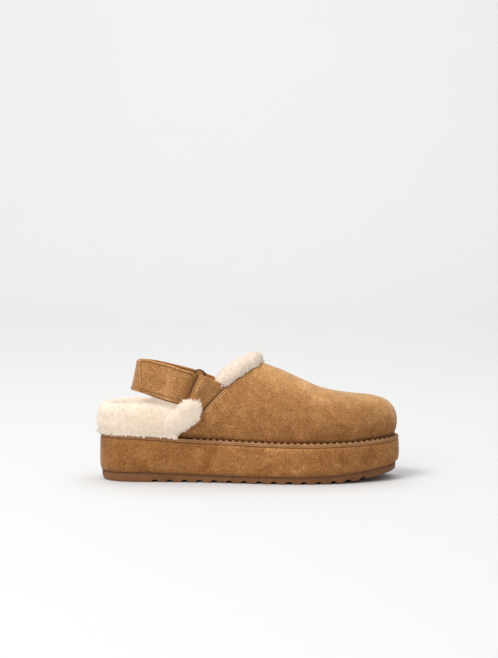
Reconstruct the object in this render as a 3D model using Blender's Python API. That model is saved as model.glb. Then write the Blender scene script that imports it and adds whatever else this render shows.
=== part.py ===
"""Slingback platform clog slipper, right foot, standing empty on its sole.

Frame: +X to the toe, +Y to the medial (inner) side, +Z up, origin on the floor under the
middle of the shoe's box. Sizes in the tables are millimetres; meshes are made in metres.
"""

import math

import bmesh
import bpy
import numpy as np

MM = 0.001

# ---- driving sizes, mm -------------------------------------------------------------
ORIGIN_X = 1.15                    # the tables' origin from the middle of the whole box
GAP = 0.3                          # clearance between touching pieces
WELT_T = 3.0                       # welt thickness
WALL = 7.0                         # upper wall: 1.8 suede bonded to deep shearling
FEATHER_INSET = 4.3                # upper's bottom edge, in from the platform's edge
INNER_INSET = 13.0                 # inside of the walls, in from the platform's edge
COLLAR_X = -62.5                   # where the collar meets the welt, both sides
THROAT_X = 10.5                    # top of the throat
RIDGE_END_X = 98.0                 # where the toe's front begins to roll down
STRAP_W, STRAP_T = 27.4, 2.3       # heel strap
LAYER_GAP = 2.6                    # between the strap's two layers, filled by the fastener
RING_W, RING_H, WIRE_R = 8.8, 34.0, 1.0  # loop, centre to centre of its wire
RING_RISE = 1.7                    # loop's middle above the strap's middle

# ---- tables, mm --------------------------------------------------------------------
# platform outline: x, lateral y, medial y
OUTLINE = [
    (-132.5, 2.0, 2.0),
    (-130.6, -10.5, 14.0),
    (-124.0, -21.2, 24.6),
    (-112.0, -28.8, 32.0),
    (-95.0, -31.8, 35.2),
    (-70.0, -33.2, 34.9),
    (-42.0, -35.6, 33.2),
    (-15.0, -40.2, 34.6),
    (10.0, -45.2, 39.4),
    (34.0, -48.3, 45.0),
    (56.0, -48.3, 48.4),
    (78.0, -44.8, 47.8),
    (97.0, -38.0, 43.2),
    (112.0, -29.2, 35.8),
    (123.0, -19.6, 27.6),
    (129.8, -9.2, 18.4),
    (132.5, 5.0, 5.0),
]
# heights along the length: x, floor side of the outsole, outsole seam, top of the platform
HEIGHTS = [
    (-132.5, 2.6, 7.2, 37.8),
    (-122.0, 0.0, 7.5, 37.8),
    (-108.0, 0.0, 7.8, 37.6),
    (-95.0, 0.0, 7.9, 37.2),
    (-70.0, 0.0, 7.3, 35.8),
    (-43.0, 0.0, 6.5, 34.2),
    (0.0, 0.0, 6.1, 32.8),
    (31.0, 0.0, 6.2, 31.9),
    (62.0, 0.0, 6.8, 31.8),
    (80.0, 0.8, 8.0, 32.1),
    (95.0, 2.2, 9.5, 32.5),
    (105.0, 3.5, 10.7, 33.0),
    (115.0, 5.1, 12.1, 33.5),
    (124.0, 7.0, 13.7, 34.0),
    (132.5, 9.4, 15.4, 34.7),
]
# top line of the upper: x, z, y
RIDGE = [
    (10.5, 102.4, 1.0),
    (18.5, 99.8, 1.2),
    (29.0, 95.6, 1.5),
    (40.0, 90.3, 1.8),
    (50.5, 85.6, 2.2),
    (61.0, 81.2, 2.6),
    (72.0, 77.4, 3.0),
    (82.0, 75.0, 3.4),
    (92.0, 73.7, 3.8),
    (104.0, 72.8, 4.2),
    (118.0, 72.0, 4.6),
    (134.0, 70.8, 5.0),
]
# cross-section of the upper by its bottom edge's x: squareness, outward belly
SECTION = [
    (-62.5, 2.35, 4.6),
    (-20.0, 2.35, 3.8),
    (30.0, 2.45, 2.8),
    (70.0, 2.75, 2.4),
    (100.0, 3.2, 2.6),
    (128.5, 4.2, 3.0),
]
# lean of the collar: share of its height, share of its run to the front
COLLAR_LEAN = [(0.0, 0.0), (0.20, 0.165), (0.38, 0.312), (0.55, 0.445), (0.68, 0.565), (0.85, 0.78), (1.0, 1.0)]
# heel rim section: outward offset, share of height
RIM_SECTION = [
    (3.4, 0.0), (6.6, 0.12), (8.2, 0.36), (7.6, 0.62), (5.2, 0.85), (1.2, 0.98),
    (-2.6, 0.94), (-5.4, 0.76), (-6.6, 0.48), (-6.9, 0.2), (-6.9, 0.0),
]
# section of the roll on the collar: share of its thickness, share of its height
FUR_ROLL = [
    (0.62, 0.0), (0.9, 0.14), (1.0, 0.36), (0.98, 0.62), (0.84, 0.86), (0.58, 1.0),
    (0.3, 0.95), (0.1, 0.74), (0.0, 0.42), (0.04, 0.0),
]
# heel rim's top above the floor, by the distance from its front end
RIM_TOP = [(0.0, 61.0), (5.0, 62.3), (14.0, 65.2), (26.0, 67.6), (45.0, 68.0), (62.0, 66.8), (95.0, 64.6), (140.0, 63.0)]
# strap rails, outer face of its inner layer: x, y, z of the upper edge and of the lower edge
STRAP_LATERAL = [
    (-47.4, -31.7, 96.2, -59.0, -33.0, 69.8),
    (-66.6, -29.6, 101.1, -76.4, -30.8, 73.7),
    (-84.8, -23.6, 104.6, -92.6, -24.4, 77.4),
    (-95.5, -14.0, 105.4, -101.8, -14.4, 78.4),
    (-99.6, 0.0, 105.2, -105.6, 0.0, 78.2),
]
STRAP_MEDIAL = [
    (-95.8, 13.6, 104.8, -101.8, 14.0, 77.8),
    (-85.2, 23.2, 103.0, -92.2, 23.8, 76.2),
    (-66.0, 28.8, 98.4, -75.0, 29.8, 71.8),
    (-45.0, 31.2, 92.2, -57.6, 32.0, 67.4),
]
TREAD_FIRST_X, TREAD_PITCH, TREAD_COUNT = -83.0, 13.0, 15
TREAD_R, TREAD_DEPTH = 3.6, 2.3


# ---- curves ------------------------------------------------------------------------
def column(table, i, j=0):
    """Smooth monotone curve through column i of a table over column j."""
    x = np.array([row[j] for row in table], float)
    y = np.array([row[i] for row in table], float)
    h, d = np.diff(x), np.diff(y) / np.diff(x)
    m = np.zeros(len(x))
    m[0], m[-1] = d[0], d[-1]
    for k in range(1, len(x) - 1):
        if d[k - 1] * d[k] > 0:
            w1, w2 = 2 * h[k] + h[k - 1], h[k] + 2 * h[k - 1]
            m[k] = (w1 + w2) / (w1 / d[k - 1] + w2 / d[k])

    def at(v):
        v = np.clip(np.asarray(v, float), x[0], x[-1])
        k = np.clip(np.searchsorted(x, v, side="right") - 1, 0, len(x) - 2)
        t = (v - x[k]) / h[k]
        return (
            y[k] * (1 + 2 * t) * (1 - t) ** 2
            + m[k] * h[k] * t * (1 - t) ** 2
            + y[k + 1] * t * t * (3 - 2 * t)
            - m[k + 1] * h[k] * t * t * (1 - t)
        )

    return at


def through(points, per=12, closed=False):
    """Centripetal Catmull-Rom curve through points."""
    p = [np.array(q, float) for q in points]
    n = len(p)
    if closed:
        p = [p[-1]] + p + p[:2]
    else:
        p = [2 * p[0] - p[1]] + p + [2 * p[-1] - p[-2]]
    out = []
    for k in range(1, (n + 1) if closed else n):
        a, b, c, d = p[k - 1], p[k], p[k + 1], p[k + 2]
        t = [0.0]
        for u, v in ((a, b), (b, c), (c, d)):
            t.append(t[-1] + max(np.linalg.norm(v - u), 1e-9) ** 0.5)
        for s in np.linspace(t[1], t[2], per, endpoint=False):
            a1 = (t[1] - s) / (t[1] - t[0]) * a + (s - t[0]) / (t[1] - t[0]) * b
            a2 = (t[2] - s) / (t[2] - t[1]) * b + (s - t[1]) / (t[2] - t[1]) * c
            a3 = (t[3] - s) / (t[3] - t[2]) * c + (s - t[2]) / (t[3] - t[2]) * d
            b1 = (t[2] - s) / (t[2] - t[0]) * a1 + (s - t[0]) / (t[2] - t[0]) * a2
            b2 = (t[3] - s) / (t[3] - t[1]) * a2 + (s - t[1]) / (t[3] - t[1]) * a3
            out.append((t[2] - s) / (t[2] - t[1]) * b1 + (s - t[1]) / (t[2] - t[1]) * b2)
    if not closed:
        out.append(p[n])
    return np.array(out)


def unit(v):
    return v / np.maximum(np.linalg.norm(v, axis=-1, keepdims=True), 1e-12)


floor_z, seam_z, platform_z = column(HEIGHTS, 1), column(HEIGHTS, 2), column(HEIGHTS, 3)
ridge_z, ridge_y = column(RIDGE, 1), column(RIDGE, 2)
squareness, belly = column(SECTION, 1), column(SECTION, 2)
lean_of, rim_top = column(COLLAR_LEAN, 1), column(RIM_TOP, 1)


def welt_top(x):
    return platform_z(x) + GAP + WELT_T


# the closed outline, anticlockwise from the heel along the lateral side to the toe and back
_side_l = [(x, yl) for x, yl, _ in OUTLINE]
_side_m = [(x, ym) for x, _, ym in OUTLINE[1:-1]]
RIM = through(_side_l + _side_m[::-1], per=16, closed=True)
_tan = unit(np.roll(RIM, -1, 0) - np.roll(RIM, 1, 0))
RIM_OUT = np.stack([_tan[:, 1], -_tan[:, 0]], 1)


def inset(d):
    """The outline moved in by d (a number, or one value for each x)."""
    d = d(RIM[:, 0]) if callable(d) else d
    return RIM - RIM_OUT * np.reshape(d, (-1, 1))


def sides(path):
    """Lateral y and medial y of a closed outline as functions of x, with its two ends."""
    heel, toe = int(np.argmin(path[:, 0])), int(np.argmax(path[:, 0]))
    lat = path[heel : toe + 1] if heel < toe else np.vstack([path[heel:], path[: toe + 1]])
    med = np.vstack([path[toe:], path[: heel + 1]])[::-1]
    keep = lambda q: q[np.concatenate([[True], np.diff(np.maximum.accumulate(q[:, 0])) > 1e-6])]
    lat, med = keep(lat), keep(med)
    return (
        lambda x: np.interp(x, lat[:, 0], lat[:, 1]),
        lambda x: np.interp(x, med[:, 0], med[:, 1]),
        path[heel, 0],
        path[toe, 0],
    )


# ---- meshes ------------------------------------------------------------------------
def material(name, rgb, rough, metal=0.0):
    m = bpy.data.materials.new(name)
    m.use_nodes = True
    b = m.node_tree.nodes["Principled BSDF"]
    b.inputs["Base Color"].default_value = (*rgb, 1)
    b.inputs["Roughness"].default_value = rough
    b.inputs["Metallic"].default_value = metal
    return m


def add(name, verts, faces, mat, parent, smooth=40):
    bm = bmesh.new()
    vs = [bm.verts.new(tuple(float(c) * MM for c in v)) for v in verts]
    for f in faces:
        ids = [vs[i] for k, i in enumerate(f) if i != f[k - 1]]
        if len(set(ids)) > 2:
            bm.faces.new(ids)
    bmesh.ops.remove_doubles(bm, verts=bm.verts, dist=1e-6)
    bmesh.ops.recalc_face_normals(bm, faces=bm.faces)
    me = bpy.data.meshes.new(name)
    bm.to_mesh(me)
    bm.free()
    me.materials.append(mat)
    me.shade_smooth()
    me.set_sharp_from_angle(angle=math.radians(smooth))
    ob = bpy.data.objects.new(name, me)
    bpy.context.scene.collection.objects.link(ob)
    ob.parent = parent
    return ob


def loft(rings, closed=False, caps=True):
    """Faces joining equal rings of points one after another."""
    n, m = len(rings), len(rings[0])
    verts = [p for ring in rings for p in ring]
    faces = []
    for i in range(n if closed else n - 1):
        a, b = i * m, ((i + 1) % n) * m
        faces += [(a + j, a + (j + 1) % m, b + (j + 1) % m, b + j) for j in range(m)]
    if caps and not closed:
        faces += [tuple(range(m))[::-1], tuple((n - 1) * m + j for j in range(m))]
    return verts, faces


def slab(outline_at, bottom, top, wall, across, n, squeeze=0.72):
    """Sections of a sole layer along the length.

    outline_at(inset) gives the layer's sides, wall is a list of (inset, share of height)
    up one side, and across is the number of spans over the width.
    """
    levels = [(sides(outline_at(d)), share) for d, share in wall]
    base = levels[int(np.argmax([w[0][3] - w[0][2] for w in levels]))][0]
    rings = []
    for t in np.linspace(0, 1, n):
        ring = []
        half = []
        for (lat, med, x0, x1), share in levels:
            x = x0 + (x1 - x0) * ((1 - squeeze) * t + squeeze * (1 - math.cos(math.pi * t)) / 2)
            half.append((x, float(lat(x)), float(med(x)), share))
        for x, yl, _, share in half:
            ring.append((x, yl, bottom(x) + (top(x) - bottom(x)) * share))
        x, yl, ym, _ = half[-1]
        for k in range(1, across):
            ring.append((x, yl + (ym - yl) * k / across, top(x)))
        for x, _, ym, share in half[::-1]:
            ring.append((x, ym, bottom(x) + (top(x) - bottom(x)) * share))
        x, yl, ym, _ = half[0]
        for k in range(1, across):
            ring.append((x, ym + (yl - ym) * k / across, bottom(x)))
        rings.append([tuple(float(c) for c in p) for p in ring])
    return loft(rings)


# ---- the upper's own function --------------------------------------------------------
FEATHER = inset(FEATHER_INSET)
_lat, _med, _fx0, FEATHER_TIP = sides(FEATHER)


def feather_side(side, n):
    """n+1 points of the upper's bottom edge from the collar to the toe tip on one side."""
    tip = int(np.argmax(FEATHER[:, 0]))
    heel = int(np.argmin(FEATHER[:, 0]))
    if side < 0:
        path, out = FEATHER[heel : tip + 1], RIM_OUT[heel : tip + 1]
    else:
        path, out = np.vstack([FEATHER[tip:], FEATHER[: heel + 1]])[::-1], np.vstack([RIM_OUT[tip:], RIM_OUT[: heel + 1]])[::-1]
    front = path[:, 0] > COLLAR_X
    k = int(np.argmax(front))
    f = (COLLAR_X - path[k - 1, 0]) / (path[k, 0] - path[k - 1, 0])
    start = path[k - 1] + f * (path[k] - path[k - 1])
    path, out = np.vstack([start, path[k:]]), np.vstack([out[k], out[k:]])
    s = np.concatenate([[0], np.cumsum(np.linalg.norm(np.diff(path, axis=0), axis=1))])
    at = np.linspace(0, s[-1], n + 1)
    at = s[-1] * (1 - (1 - at / s[-1]) ** 1.12)
    pick = lambda a: np.stack([np.interp(at, s, a[:, c]) for c in (0, 1)], 1)
    return pick(path), unit(pick(out))


def rib(foot, out, n):
    """n+1 points from the bottom edge up to the top line, over one side of the last."""
    share = (foot[0] - COLLAR_X) / (FEATHER_TIP - COLLAR_X)
    rx = THROAT_X + (RIDGE_END_X - THROAT_X) * share
    top = np.array([rx, float(ridge_y(rx))])
    sq, bel = float(squareness(foot[0])), float(belly(foot[0]))
    z0 = float(welt_top(foot[0])) + GAP
    run = top - foot
    inward = (run @ -out) * -out
    along = run - inward
    frontness = max(0.0, out[0]) ** 2
    pts = []
    for a in np.linspace(0, math.pi / 2, n + 1):
        a = a if n < 3 else a - 0.10 * math.sin(2 * a)
        c, g = max(math.cos(a), 0.0) ** (2 / sq), math.sin(a) ** (2 / sq)
        xy = foot + along * float(lean_of(g)) + inward * (1 - c) + out * bel * math.sin(math.pi * g ** 0.85)
        crown = (1 - frontness) * float(ridge_z(rx)) + frontness * float(ridge_z(xy[0]))
        pts.append((xy[0], xy[1], z0 + (crown - z0) * g))
    return pts


def upper_grid(n_len, n_up):
    """Sections from the collar to the toe, each from the lateral edge over the top to the medial edge."""
    fl, ol = feather_side(-1, n_len)
    fm, om = feather_side(1, n_len)
    grid = []
    for k in range(n_len + 1):
        left, right = rib(fl[k], ol[k], n_up), rib(fm[k], om[k], n_up)
        grid.append(left[:-1] + [left[-1]] + right[-2::-1])
    return np.array(grid)


def grid_normals(grid):
    """Outward normals of the section grid, by differences between neighbours."""
    dk = np.gradient(grid, axis=0)
    dk[-1] = grid[-1] - grid[-2]
    dj = np.gradient(grid, axis=1)
    n = unit(np.cross(dk, dj))
    n[-1] = unit(n[-2] + n[-2][::-1])
    return n


def build_upper(mat, parent):
    n_len, n_up = 24, 11
    grid = upper_grid(n_len, n_up)
    normal = grid_normals(grid)
    m = grid.shape[1]
    mid = n_up
    verts, index = [], {}

    def vid(k, j):
        if k == n_len and j > mid:
            j = 2 * mid - j
        if (k, j) not in index:
            index[(k, j)] = len(verts)
            verts.append(grid[k, j])
        return index[(k, j)]

    faces = []
    for k in range(n_len):
        for j in range(m - 1):
            faces.append((vid(k, j), vid(k, j + 1), vid(k + 1, j + 1), vid(k + 1, j)))
    ob = add("upper", verts, faces, mat, parent)
    me = ob.data
    centre = sum((v.co for v in me.vertices), start=me.vertices[0].co * 0) / len(me.vertices)
    outward = sum(p.normal.dot(p.center - centre) for p in me.polygons)
    if outward < 0:
        me.flip_normals()
    wall = ob.modifiers.new("wall", "SOLIDIFY")
    wall.thickness = WALL * MM
    wall.offset = -1
    wall.use_even_offset = False
    wall.use_rim = True
    return grid, normal


# ---- pieces --------------------------------------------------------------------------
def build_outsole(mat, parent):
    draw = column([(-133, 1.4), (-60, 2.0), (60, 2.6), (133, 2.6)], 1)
    edge = lambda d: inset(lambda x: draw(x) + d)
    verts, faces = slab(edge, floor_z, lambda x: seam_z(x) - GAP, [(0.8, 0.0), (0.2, 0.16), (0.0, 0.5), (0.0, 1.0)], 2, 42)
    ob = add("outsole", verts, faces, mat, parent, 30)
    rings, groups = [], []
    for k in range(TREAD_COUNT):
        x = TREAD_FIRST_X + TREAD_PITCH * k
        z = float(floor_z(x)) + TREAD_DEPTH - TREAD_R
        loop = []
        for i in range(9):
            a = math.pi * i / 8
            loop.append((x + TREAD_R * math.cos(a) * (1.0 if i < 5 else 1.1), z + TREAD_R * math.sin(a)))
        loop += [(x - TREAD_R * 1.1, z - 3.0), (x + TREAD_R, z - 3.0)]
        groups.append([[(px, y, pz) for px, pz in loop] for y in (-60.0, 60.0)])
    cv, cf = [], []
    for pair in groups:
        v, f = loft(pair)
        cf += [tuple(i + len(cv) for i in face) for face in f]
        cv += v
    cutter = add("tread_cutter", cv, cf, mat, parent)
    cutter.hide_render = True
    cutter.display_type = "WIRE"
    cut = ob.modifiers.new("tread", "BOOLEAN")
    cut.operation = "DIFFERENCE"
    cut.object = cutter
    cut.solver = "EXACT"


def build_midsole(mat, parent):
    verts, faces = slab(
        inset, lambda x: seam_z(x), platform_z,
        [(1.5, 0.0), (0.1, 0.07), (-0.4, 0.30), (-0.4, 0.60), (0.0, 0.94), (0.5, 1.0)], 2, 44,
    )
    add("midsole", verts, faces, mat, parent, 40)


def build_welt(mat, parent):
    """A strip laid round the platform's edge, its ends joined."""
    pick = np.linspace(0, len(RIM), 84, endpoint=False).astype(int)
    rings = []
    shape = [(0.7, 0.0), (0.1, 0.22), (0.1, 0.55), (0.8, 0.9), (1.6, 1.0), (12.4, 1.0), (12.4, 0.0)]
    paths = [inset(d)[pick] for d, _ in shape]
    for i in range(len(pick)):
        ring = []
        for (d, share), path in zip(shape, paths):
            x, y = path[i]
            z0 = float(platform_z(x)) + GAP
            ring.append((x, y, z0 + WELT_T * share))
        rings.append(ring)
    verts, faces = loft(rings, closed=True)
    add("welt", verts, faces, mat, parent, 30)


def build_insole(mat, parent):
    top = column([(-133, 47.0), (-95, 46.6), (-60, 46.5), (-25, 45.8), (15, 43.6), (60, 42.6), (100, 43.6), (133, 45.0)], 1)
    verts, faces = slab(
        lambda d: inset(INNER_INSET + d), lambda x: platform_z(x) + GAP, top,
        [(0.6, 0.0), (0.0, 0.3), (0.0, 0.62), (1.2, 0.9), (4.0, 1.0)], 3, 34,
    )
    add("insole", verts, faces, mat, parent, 50)


def build_heel_rim(mat, parent):
    """Shearling rim round the back of the foot, from the collar's foot on one side to the other."""
    path, out = inset(5.5), RIM_OUT
    order = np.argsort([(i + len(path) // 2) % len(path) for i in range(len(path))])
    path, out = path[order], out[order]
    heel = int(np.argmin(path[:, 0]))
    lo = heel
    while path[lo, 0] < COLLAR_X - 1.0:
        lo -= 1
    hi = heel
    while path[hi, 0] < COLLAR_X - 1.0:
        hi += 1
    path, out = path[lo : hi + 1], out[lo : hi + 1]
    if path[0, 1] > path[-1, 1]:
        path, out = path[::-1], out[::-1]
    s = np.concatenate([[0], np.cumsum(np.linalg.norm(np.diff(path, axis=0), axis=1))])
    n = 36
    at = np.linspace(0, s[-1], n + 1)
    ends = np.array([0.0, 2.2, 5.2])
    at = np.concatenate([ends, at[2:-2], s[-1] - ends[::-1]])
    px, py = np.interp(at, s, path[:, 0]), np.interp(at, s, path[:, 1])
    o = unit(np.stack([np.interp(at, s, out[:, 0]), np.interp(at, s, out[:, 1])], 1))
    rings = []
    for i, u in enumerate(at):
        near = min(u, s[-1] - u)
        lean = 0.97 * max(0.0, 1 - near / 62.0) ** 1.4
        z0 = float(welt_top(px[i])) + 1.6 * GAP
        end = 1 - 0.28 * max(0.0, 1 - near / 5.2) ** 2
        thin = 1 - 0.30 * max(0.0, 1 - near / 5.2) ** 2
        ring = []
        for off, share in RIM_SECTION:
            z = z0 + (float(rim_top(near)) - z0) * share * end
            ring.append((px[i] + o[i, 0] * off * thin + lean * (z - z0) - 3.4 * (near < 1), py[i] + o[i, 1] * off * thin, z))
        rings.append(ring)
    verts, faces = loft(rings)
    add("heel_rim", verts, faces, mat, parent, 60)


def collar_frame(grid, normal, j0, j1, n):
    """Points, surface normals and directions away from the edge, along the collar."""
    c, nn = grid[0], normal[0]
    t = np.gradient(c, axis=0)
    e = unit(np.cross(unit(t), nn))
    if e[len(c) // 2, 0] > 0:
        e = -e
    s = np.linspace(j0, j1, n)
    idx = np.arange(len(c))
    pick = lambda a: np.stack([np.interp(s, idx, a[:, k]) for k in range(3)], 1)
    return pick(c), unit(pick(nn)), unit(pick(e)), s


def collar_at(c, z, side):
    """Index along the collar's edge where it reaches height z on one side."""
    mid = len(c) // 2
    part = c[: mid + 1] if side < 0 else c[mid:][::-1]
    k = np.interp(z, part[:, 2], np.arange(len(part)))
    return k if side < 0 else len(c) - 1 - k


def build_collar_fur(mat, parent, grid, normal):
    """Shearling roll standing past the collar's edge, thin where it runs behind the strap."""
    c = grid[0]
    j0, j1 = collar_at(c, 67.5, -1), collar_at(c, 67.5, 1)
    p, nn, e, s = collar_frame(grid, normal, j0, j1, 45)
    tab_l, tab_m = collar_at(c, 85.5, -1), collar_at(c, 85.5, 1)
    rings = []
    for i in range(len(p)):
        inside = min(s[i] - tab_l, tab_m - s[i])
        full = min(1.0, max(0.0, inside / 0.9))
        full = full * full * (3 - 2 * full)
        crown = min(1.0, max(0.0, inside) / ((tab_m - tab_l) / 2))
        high = 5.6 + 4.6 * full + 2.0 * crown
        outer = -6.6 + (9.2 + 1.8 * crown) * full
        inner = -9.8
        ring = []
        for off, share in FUR_ROLL:
            ring.append(p[i] + nn[i] * (inner + (outer - inner) * off) + e[i] * (1.0 + (high - 1.0) * share))
        rings.append(ring)
    verts, faces = loft(rings)
    add("collar_fur", verts, faces, mat, parent, 60)


def strap_rails(rows, per=8):
    top = through([(r[0], r[1], r[2]) for r in rows], per)
    low = through([(r[3], r[4], r[5]) for r in rows], per)
    return top, low


def strap_frame(top, low):
    """Middle line, unit width direction and outward normal for each station."""
    mid = (top + low) / 2
    w = unit(top - low)
    t = unit(np.gradient(mid, axis=0))
    n = unit(np.cross(w, t))
    return mid, w, n


def band(path2d, place, half_w, thick, w_of):
    """A strip of even thickness that follows path2d = [(u, d)], placed in space by place(u, d, w)."""
    p = np.array(path2d, float)
    t = unit(np.gradient(p, axis=0))
    t[0], t[-1] = unit(p[1] - p[0]), unit(p[-1] - p[-2])
    q = np.stack([-t[:, 1], t[:, 0]], 1)
    rings = []
    for i in range(len(p)):
        a, b = p[i] + q[i] * thick / 2, p[i] - q[i] * thick / 2
        top, low = w_of(i)
        rings.append([place(*a, top * half_w), place(*b, top * half_w), place(*b, -low * half_w), place(*a, -low * half_w)])
    return loft(rings)


def build_strap(mats, parent, grid, normal):
    suede, tape, metal = mats
    rows = STRAP_LATERAL + STRAP_MEDIAL
    c = grid[0]
    # medial end of the strap, under the collar's edge
    def collar_point(z, side, depth, away):
        k = collar_at(c, z, side)
        p, nn, e, _ = collar_frame(grid, normal, k, k, 1)
        return p[0] + nn[0] * -depth + e[0] * away
    m_top, m_low = collar_point(83.5, 1, 3.0, 1.3), collar_point(60.5, 1, 3.0, 1.3)
    m_low = m_low + unit(m_low - m_top) * 0.5
    rows = rows + [(*m_top, *m_low)]
    top, low = strap_rails(rows)
    mid, w, n = strap_frame(top, low)
    if n[2, 1] > 0:
        n = -n
    s = np.concatenate([[0], np.cumsum(np.linalg.norm(np.diff(mid, axis=0), axis=1))])
    half = np.linalg.norm(top - low, axis=1) / 2
    ext = unit(mid[0] - mid[1])

    def place(u, d, wv):
        if u < 0:
            base, ww, nv, hh = mid[0] + ext * -u, w[0], n[0], half[0]
        else:
            base = np.array([np.interp(u, s, mid[:, k]) for k in range(3)])
            ww = unit(np.array([np.interp(u, s, w[:, k]) for k in range(3)]))
            nv = unit(np.array([np.interp(u, s, n[:, k]) for k in range(3)]))
            hh = float(np.interp(u, s, half))
        return base + nv * d + ww * wv * (hh if u > s[-1] - 25 else min(hh, STRAP_W / 2))

    d_in, d_out = -STRAP_T / 2, LAYER_GAP + STRAP_T / 2
    r = (d_out - d_in) / 2
    end_u = 46.0
    path, widths = [], []
    for u in np.concatenate([np.linspace(end_u, end_u - 6, 5), np.linspace(end_u - 12, 4, 8)]):
        path.append((u, d_out))
        k = max(0.0, 1 - (end_u - u) / 6.0)
        widths.append(1 - (1 - math.sqrt(max(0.0, 1 - k * k))) * 0.36)
    for a in np.linspace(0, math.pi, 8):
        path.append((0 - r * math.sin(a), (d_out + d_in) / 2 + r * math.cos(a)))
        widths.append(1.0)
    for u in np.linspace(4, s[-1], 40):
        path.append((u, d_in))
        widths.append(1.0)
    verts, faces = band(path, place, 1.0, STRAP_T, lambda i: (widths[i], widths[i]))
    add("heel_strap", verts, faces, suede, parent, 50)

    # the fastener between the strap's two layers
    path = [(u, LAYER_GAP / 2) for u in np.linspace(8.0, end_u - 4.0, 12)]
    verts, faces = band(path, place, 0.86, LAYER_GAP - 3.6 * GAP, lambda i: (1.0, 1.0))
    add("fastener_tape", verts, faces, tape, parent, 50)

    # the loop: its back bar lies in the strap's fold, its front bar in the tab's
    level = (d_out + d_in) / 2
    loop = []
    corner = 2.0
    hw, hh = RING_W / 2, RING_H / 2
    for cx, cy, a0 in ((hw - corner, hh - corner, 0), (-hw + corner, hh - corner, 90), (-hw + corner, -hh + corner, 180), (hw - corner, -hh + corner, 270)):
        for k in range(4):
            a = math.radians(a0 + 30 * k)
            loop.append((cx + corner * math.cos(a), cy + corner * math.sin(a)))
    ax_u, ax_w, ax_n = ext, w[0], n[0]
    ax_u = unit(ax_u - ax_w * (ax_u @ ax_w))
    centre = place(0.0, level, 0.0) + ax_u * hw
    rings = []
    for i, (a, b) in enumerate(loop):
        pa, pb = np.array(loop[i - 1]), np.array(loop[(i + 1) % len(loop)])
        t = unit(pb - pa)
        side = np.array([t[1], -t[0]])
        ring = []
        for k in range(8):
            ang = 2 * math.pi * k / 8
            off = side * WIRE_R * math.cos(ang)
            ring.append(centre + ax_u * (a + off[0]) + ax_w * (RING_RISE + b + off[1]) + ax_n * WIRE_R * math.sin(ang))
        rings.append(ring)
    verts, faces = loft(rings, closed=True)
    add("loop", verts, faces, metal, parent, 60)

    # the short tab, folded round the loop's front bar and sewn under the collar's edge
    t_top, t_low = collar_point(84.6, -1, 3.0, 1.3), collar_point(61.8, -1, 3.0, 1.3)
    bar_mid = centre + ax_u * hw
    bar_top, bar_low = bar_mid + ax_w * (STRAP_W / 2 + 1.4), bar_mid - ax_w * STRAP_W / 2
    kc = (collar_at(c, 84.6, -1) + collar_at(c, 61.8, -1)) / 2
    _, nc, _, _ = collar_frame(grid, normal, kc, kc, 1)
    nc = nc[0]
    lead = (t_top + t_low) / 2 - bar_mid
    lead = unit(lead - ax_w * (lead @ ax_w))
    n0 = np.cross(ax_w, lead)
    n0 = unit(n0 * np.sign(n0 @ ax_n))

    def place_tab(f, d, wv):
        g = max(0.0, f)
        a, b = bar_top + (t_top - bar_top) * g, bar_low + (t_low - bar_low) * g
        nv = unit(n0 * (1 - g) + nc * g)
        base = (a + b) / 2 + lead * min(f, 0.0) * run
        return base + nv * d + (a - b) / 2 * wv

    run = float(np.linalg.norm((t_top + t_low) / 2 - bar_mid))
    path, open_at = [], lambda f: r + (1.25 - r) * f
    for f in np.linspace(1, 0.12, 6):
        path.append((f, open_at(f)))
    for a in np.linspace(0, math.pi, 8):
        path.append((-r * math.sin(a) / run, r * math.cos(a)))
    for f in np.linspace(0.12, 1, 6):
        path.append((f, -open_at(f)))
    p = np.array(path) * [run, 1]
    scaled = lambda u, d, wv: place_tab(u / run, d, wv)
    verts, faces = band(p, scaled, 1.0, STRAP_T - 0.1, lambda i: (1.0, 1.0))
    add("strap_tab", verts, faces, suede, parent, 50)


def main():
    for ob in list(bpy.data.objects):
        bpy.data.objects.remove(ob, do_unlink=True)
    root = bpy.data.objects.new("slipper", None)
    root.location = (ORIGIN_X * MM, 0, 0)
    bpy.context.scene.collection.objects.link(root)
    suede = material("suede", (0.36, 0.19, 0.08), 0.92)
    wrap = material("suede_wrap", (0.32, 0.16, 0.065), 0.92)
    fur = material("shearling", (0.82, 0.74, 0.64), 0.95)
    rubber = material("rubber", (0.17, 0.085, 0.045), 0.6)
    trim = material("welt_rubber", (0.25, 0.15, 0.095), 0.55)
    metal = material("dark_metal", (0.09, 0.08, 0.075), 0.3, 1.0)
    tape = material("tape", (0.10, 0.055, 0.03), 0.9)
    build_outsole(rubber, root)
    build_midsole(wrap, root)
    build_welt(trim, root)
    build_insole(fur, root)
    grid, normal = build_upper(suede, root)
    build_heel_rim(fur, root)
    build_collar_fur(fur, root, grid, normal)
    build_strap((suede, tape, metal), root, grid, normal)


main()
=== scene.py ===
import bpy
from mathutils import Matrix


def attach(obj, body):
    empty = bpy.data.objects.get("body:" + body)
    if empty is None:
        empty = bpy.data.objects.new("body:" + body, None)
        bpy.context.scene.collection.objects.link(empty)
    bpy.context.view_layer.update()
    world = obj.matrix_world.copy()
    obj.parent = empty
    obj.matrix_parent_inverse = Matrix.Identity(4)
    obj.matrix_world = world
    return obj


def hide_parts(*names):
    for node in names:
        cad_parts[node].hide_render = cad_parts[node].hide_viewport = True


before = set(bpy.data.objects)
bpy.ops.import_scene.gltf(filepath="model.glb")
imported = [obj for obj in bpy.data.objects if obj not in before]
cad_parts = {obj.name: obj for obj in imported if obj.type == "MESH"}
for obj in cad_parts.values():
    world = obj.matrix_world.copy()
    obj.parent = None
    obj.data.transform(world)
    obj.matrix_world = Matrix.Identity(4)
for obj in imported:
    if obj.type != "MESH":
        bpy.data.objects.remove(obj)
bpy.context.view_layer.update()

import math

import bmesh
import bpy
import numpy as np
from mathutils import Vector
from mathutils.kdtree import KDTree

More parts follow.
